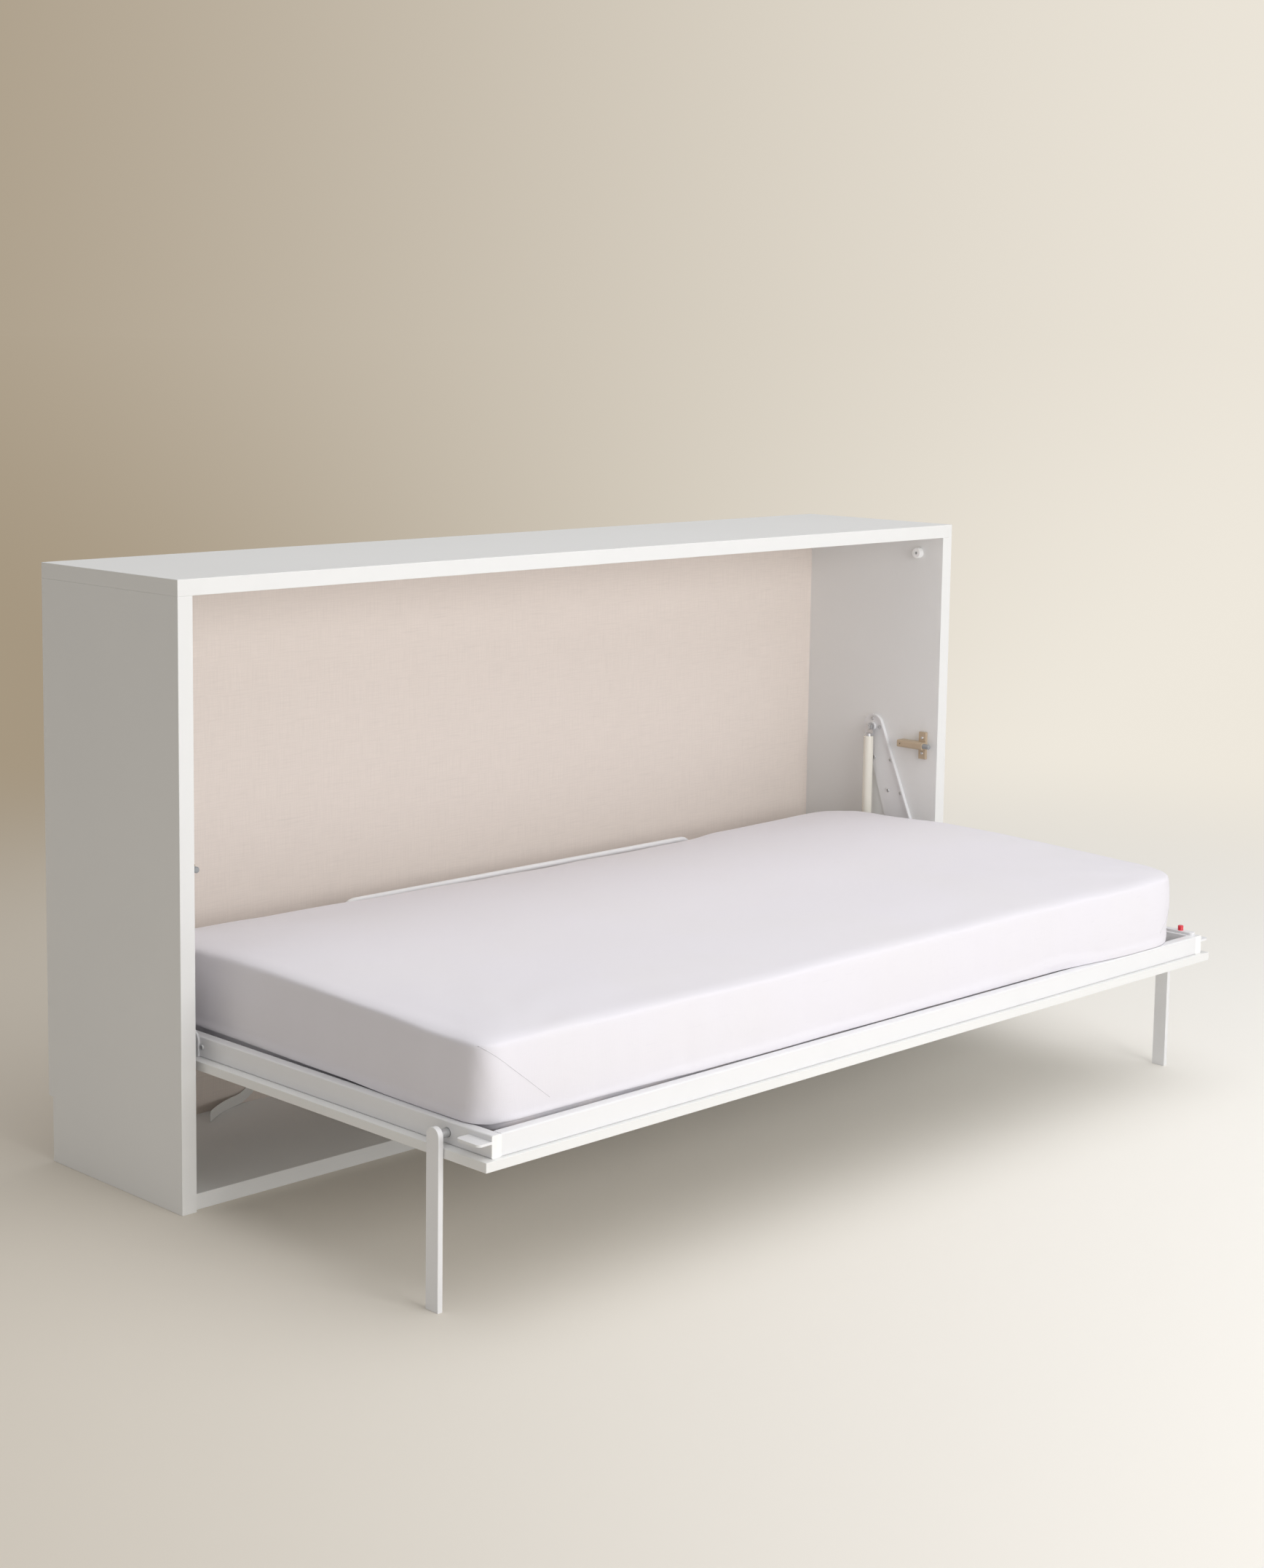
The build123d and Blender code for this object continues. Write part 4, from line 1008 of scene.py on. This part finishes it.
class WALLBED_OT_finishes(bpy.types.Operator):
    """Give every CAD piece its finish"""

    bl_idname = "wallbed.finishes"
    bl_label = "Finishes"

    def execute(self, context):
        FINISHES.update(build_finishes(context.scene.wallbed_finish))
        for part in frame["record"]["subparts"]:
            piece = frame["nodes"][part["node"]]
            for slot in piece.material_slots:
                slot.material = FINISHES[part["material_slot"]]
        return {"FINISHED"}


class WALLBED_OT_mattress(bpy.types.Operator):
    """Make the mattress in its fitted sheet, with its sewn corner seams"""

    bl_idname = "wallbed.mattress"
    bl_label = "Mattress and sheet"

    def execute(self, context):
        settings = context.scene.wallbed_mattress
        sheet, form = build_mattress(settings)
        build_seams(sheet, form, settings)
        return {"FINISHED"}


class WALLBED_OT_strap(bpy.types.Operator):
    """Make the webbing strap on the bottom board"""

    bl_idname = "wallbed.strap"
    bl_label = "Strap"

    def execute(self, context):
        build_strap()
        return {"FINISHED"}


class WALLBED_OT_screws(bpy.types.Operator):
    """Make the screws and bolts with their heads and recesses"""

    bl_idname = "wallbed.screws"
    bl_label = "Screws"

    def execute(self, context):
        for node in SCREW_SETS:
            build_screws(node)
        return {"FINISHED"}


class WALLBED_OT_stage(bpy.types.Operator):
    """Set up the floor, the lights and the camera"""

    bl_idname = "wallbed.stage"
    bl_label = "Stage"

    def execute(self, context):
        settings = context.scene.wallbed_stage
        build_floor(settings)
        build_world(settings)
        build_lights(settings)
        build_camera(settings)
        context.scene.view_settings.view_transform = "Standard"
        return {"FINISHED"}


PICTURE_ACROSS = (0.717, -0.697, 0.0)  # the picture's left to right, in the room
FLOOR_RADIUS = 400.0
FLOOR_BLEND = 2.2  # metres to each side of the middle, over which the floor's painted light passes from dark to light
BACKDROP_BLEND = 0.36  # sideways share of the direction of sight, over which the backdrop's painted light passes from dark to light
NEAR_REACH = 10  # metres to the end of the gradient round the object
NEAR_LOW, NEAR_HIGH = 0.50, 0.88  # the gradient's values between which the floor fades away
VIEW_DISTANCE = 1000


def painted_side_light(look, vector, reach, left, right):
    """A colour that changes softly from the picture's left to its right, fixed in the room:
    painted light, darker at the left and lighter at the right.
    """
    side = look.add("ShaderNodeVectorMath", {"operation": "DOT_PRODUCT"},
                    {0: vector, 1: PICTURE_ACROSS}, output="Value")
    share = look.add("ShaderNodeMapRange", {"interpolation_type": "SMOOTHSTEP"},
                     {"Value": side, "From Min": -reach, "From Max": reach})
    return look.add("ShaderNodeMix", {"data_type": "RGBA"},
                    {0: share, 6: (*left, 1), 7: (*right, 1)}, output=2)


def build_floor(settings):
    """A floor that passes softly into the backdrop, far from the object. Its colour is painted
    light: darker at the left, lighter at the right.
    """
    mesh = bmesh.new()
    bmesh.ops.create_circle(mesh, cap_ends=True, segments=96, radius=FLOOR_RADIUS)
    data = mesh_data("floor", mesh)
    floor = add_object("floor", data)
    finish = Finish("floor", settings.floor_shaded_left, 0.9, {"Specular IOR Level": 0.1})
    # Painted light: the floor's colour passes from darker at the left to lighter at the right.
    finish.feed("Base Color", painted_side_light(finish, finish.place(), FLOOR_BLEND, settings.floor_shaded_left,
                                         settings.floor_lit_right))
    near = finish.add("ShaderNodeTexGradient", {"gradient_type": "SPHERICAL"},
                      {"Vector": finish.place((1 / NEAR_REACH,) * 3)})
    near_share = finish.add("ShaderNodeMapRange", {"interpolation_type": "SMOOTHERSTEP"},
                            {"Value": near, "From Min": NEAR_LOW, "From Max": NEAR_HIGH})
    away = finish.add("ShaderNodeVectorMath", {"operation": "NORMALIZE"}, {0: finish.place()})
    # Painted light: far off, the floor glows for camera rays with the backdrop's colour, darker at
    # the left and lighter at the right.
    colour = painted_side_light(finish, away, BACKDROP_BLEND, settings.backdrop_shaded_left,
                        settings.backdrop_lit_right)
    glow = finish.add("ShaderNodeEmission", sockets={"Color": colour, "Strength": 1.0})
    seen = finish.add("ShaderNodeLightPath", output="Is Camera Ray")
    shader = Socket(finish, finish.shader.outputs[0])
    mixed = finish.add("ShaderNodeMixShader",
                       sockets={0: (1 - near_share) * seen, 1: shader, 2: glow})
    finish.tree.links.new(mixed.socket, finish.tree.nodes["Material Output"].inputs["Surface"])
    data.materials.append(finish.material)


class RoomLook(Finish):
    """The room's light and backdrop, built with the same node calls as a finish."""

    def __init__(self):
        world = bpy.data.worlds.new("studio")
        bpy.context.scene.world = world
        world.use_nodes = True
        self.tree = world.node_tree
        self.tree.nodes.clear()


def build_world(settings):
    """Even light from all round; the camera sees the backdrop's colour, which is painted light,
    darker at the left and lighter at the right.
    """
    look = RoomLook()
    light = look.add("ShaderNodeBackground",
                     sockets={"Color": (1.0, 0.985, 0.965, 1), "Strength": settings.ambient})
    direction = look.add("ShaderNodeTexCoord", output="Generated")
    # Painted light: the backdrop passes from darker at the left to lighter at the right.
    colour = painted_side_light(look, direction, BACKDROP_BLEND, settings.backdrop_shaded_left,
                        settings.backdrop_lit_right)
    backdrop = look.add("ShaderNodeBackground", sockets={"Color": colour, "Strength": 1.0})
    seen = look.add("ShaderNodeLightPath", output="Is Camera Ray")
    mixed = look.add("ShaderNodeMixShader", sockets={0: seen, 1: light, 2: backdrop})
    look.add("ShaderNodeOutputWorld", sockets={"Surface": mixed}, output=None)


def add_area_light(name, place, target, size, power):
    """A round soft light that the camera doesn't see."""
    data = bpy.data.lights.new(name, "AREA")
    data.shape = "DISK"
    data.size = size
    data.energy = power
    data.color = (0.99, 0.99, 1.0)
    light = add_object(name, data)
    light.matrix_world = stand(place, Vector(target) - Vector(place), "-Z")
    light.visible_camera = False


def build_lights(settings):
    """A large soft light from the front, and another from above."""
    add_area_light("front light", (-0.5, -5.2, 1.8), (0.1, 0.0, 0.5), 2.6, settings.front)
    add_area_light("top light", (1.0, -1.5, 5.0), (0.1, -0.3, 0.5), 7.5, settings.above)


def build_camera(settings):
    """A camera that stands and looks as the photograph's does."""
    data = bpy.data.cameras.new("camera")
    data.sensor_width = 36.0
    data.lens = settings.focal_share * data.sensor_width
    data.shift_x = settings.shift_x
    data.shift_y = settings.shift_y
    data.clip_end = VIEW_DISTANCE
    camera = add_object("camera", data)
    turn = Matrix.Identity(3)
    for angles in ((0, 0, -settings.heading), (math.pi / 2 - settings.pitch, 0, 0),
                   (0, 0, settings.roll)):
        turn = turn @ Euler(angles).to_matrix()
    camera.matrix_world = Matrix.Translation(settings.place) @ turn.to_4x4()
    bpy.context.scene.camera = camera


class WALLBED_PT_panel(bpy.types.Panel):
    """Lists the steps that make the wall bed"""

    bl_idname = "WALLBED_PT_panel"
    bl_label = "Wall Bed"
    bl_space_type = "VIEW_3D"
    bl_region_type = "UI"
    bl_category = "Wall Bed"

    def draw(self, context):
        for step in STEPS:
            self.layout.operator(step.bl_idname)


STEPS = (WALLBED_OT_finishes, WALLBED_OT_mattress, WALLBED_OT_strap, WALLBED_OT_screws,
         WALLBED_OT_stage)
GROUPS = {
    "wallbed_finish": FinishSettings,
    "wallbed_mattress": MattressSettings,
    "wallbed_stage": StageSettings,
}
CLASSES = (*GROUPS.values(), *STEPS, WALLBED_PT_panel)


def register():
    for item in CLASSES:
        bpy.utils.register_class(item)
    for name, group in GROUPS.items():
        setattr(bpy.types.Scene, name, PointerProperty(type=group))


def unregister():
    for name in GROUPS:
        delattr(bpy.types.Scene, name)
    for item in reversed(CLASSES):
        bpy.utils.unregister_class(item)


def main():
    register()
    bpy.ops.wallbed.finishes()
    bpy.ops.wallbed.mattress()
    bpy.ops.wallbed.strap()
    bpy.ops.wallbed.screws()
    bpy.ops.wallbed.stage()


if __name__ == "__main__":
    main()
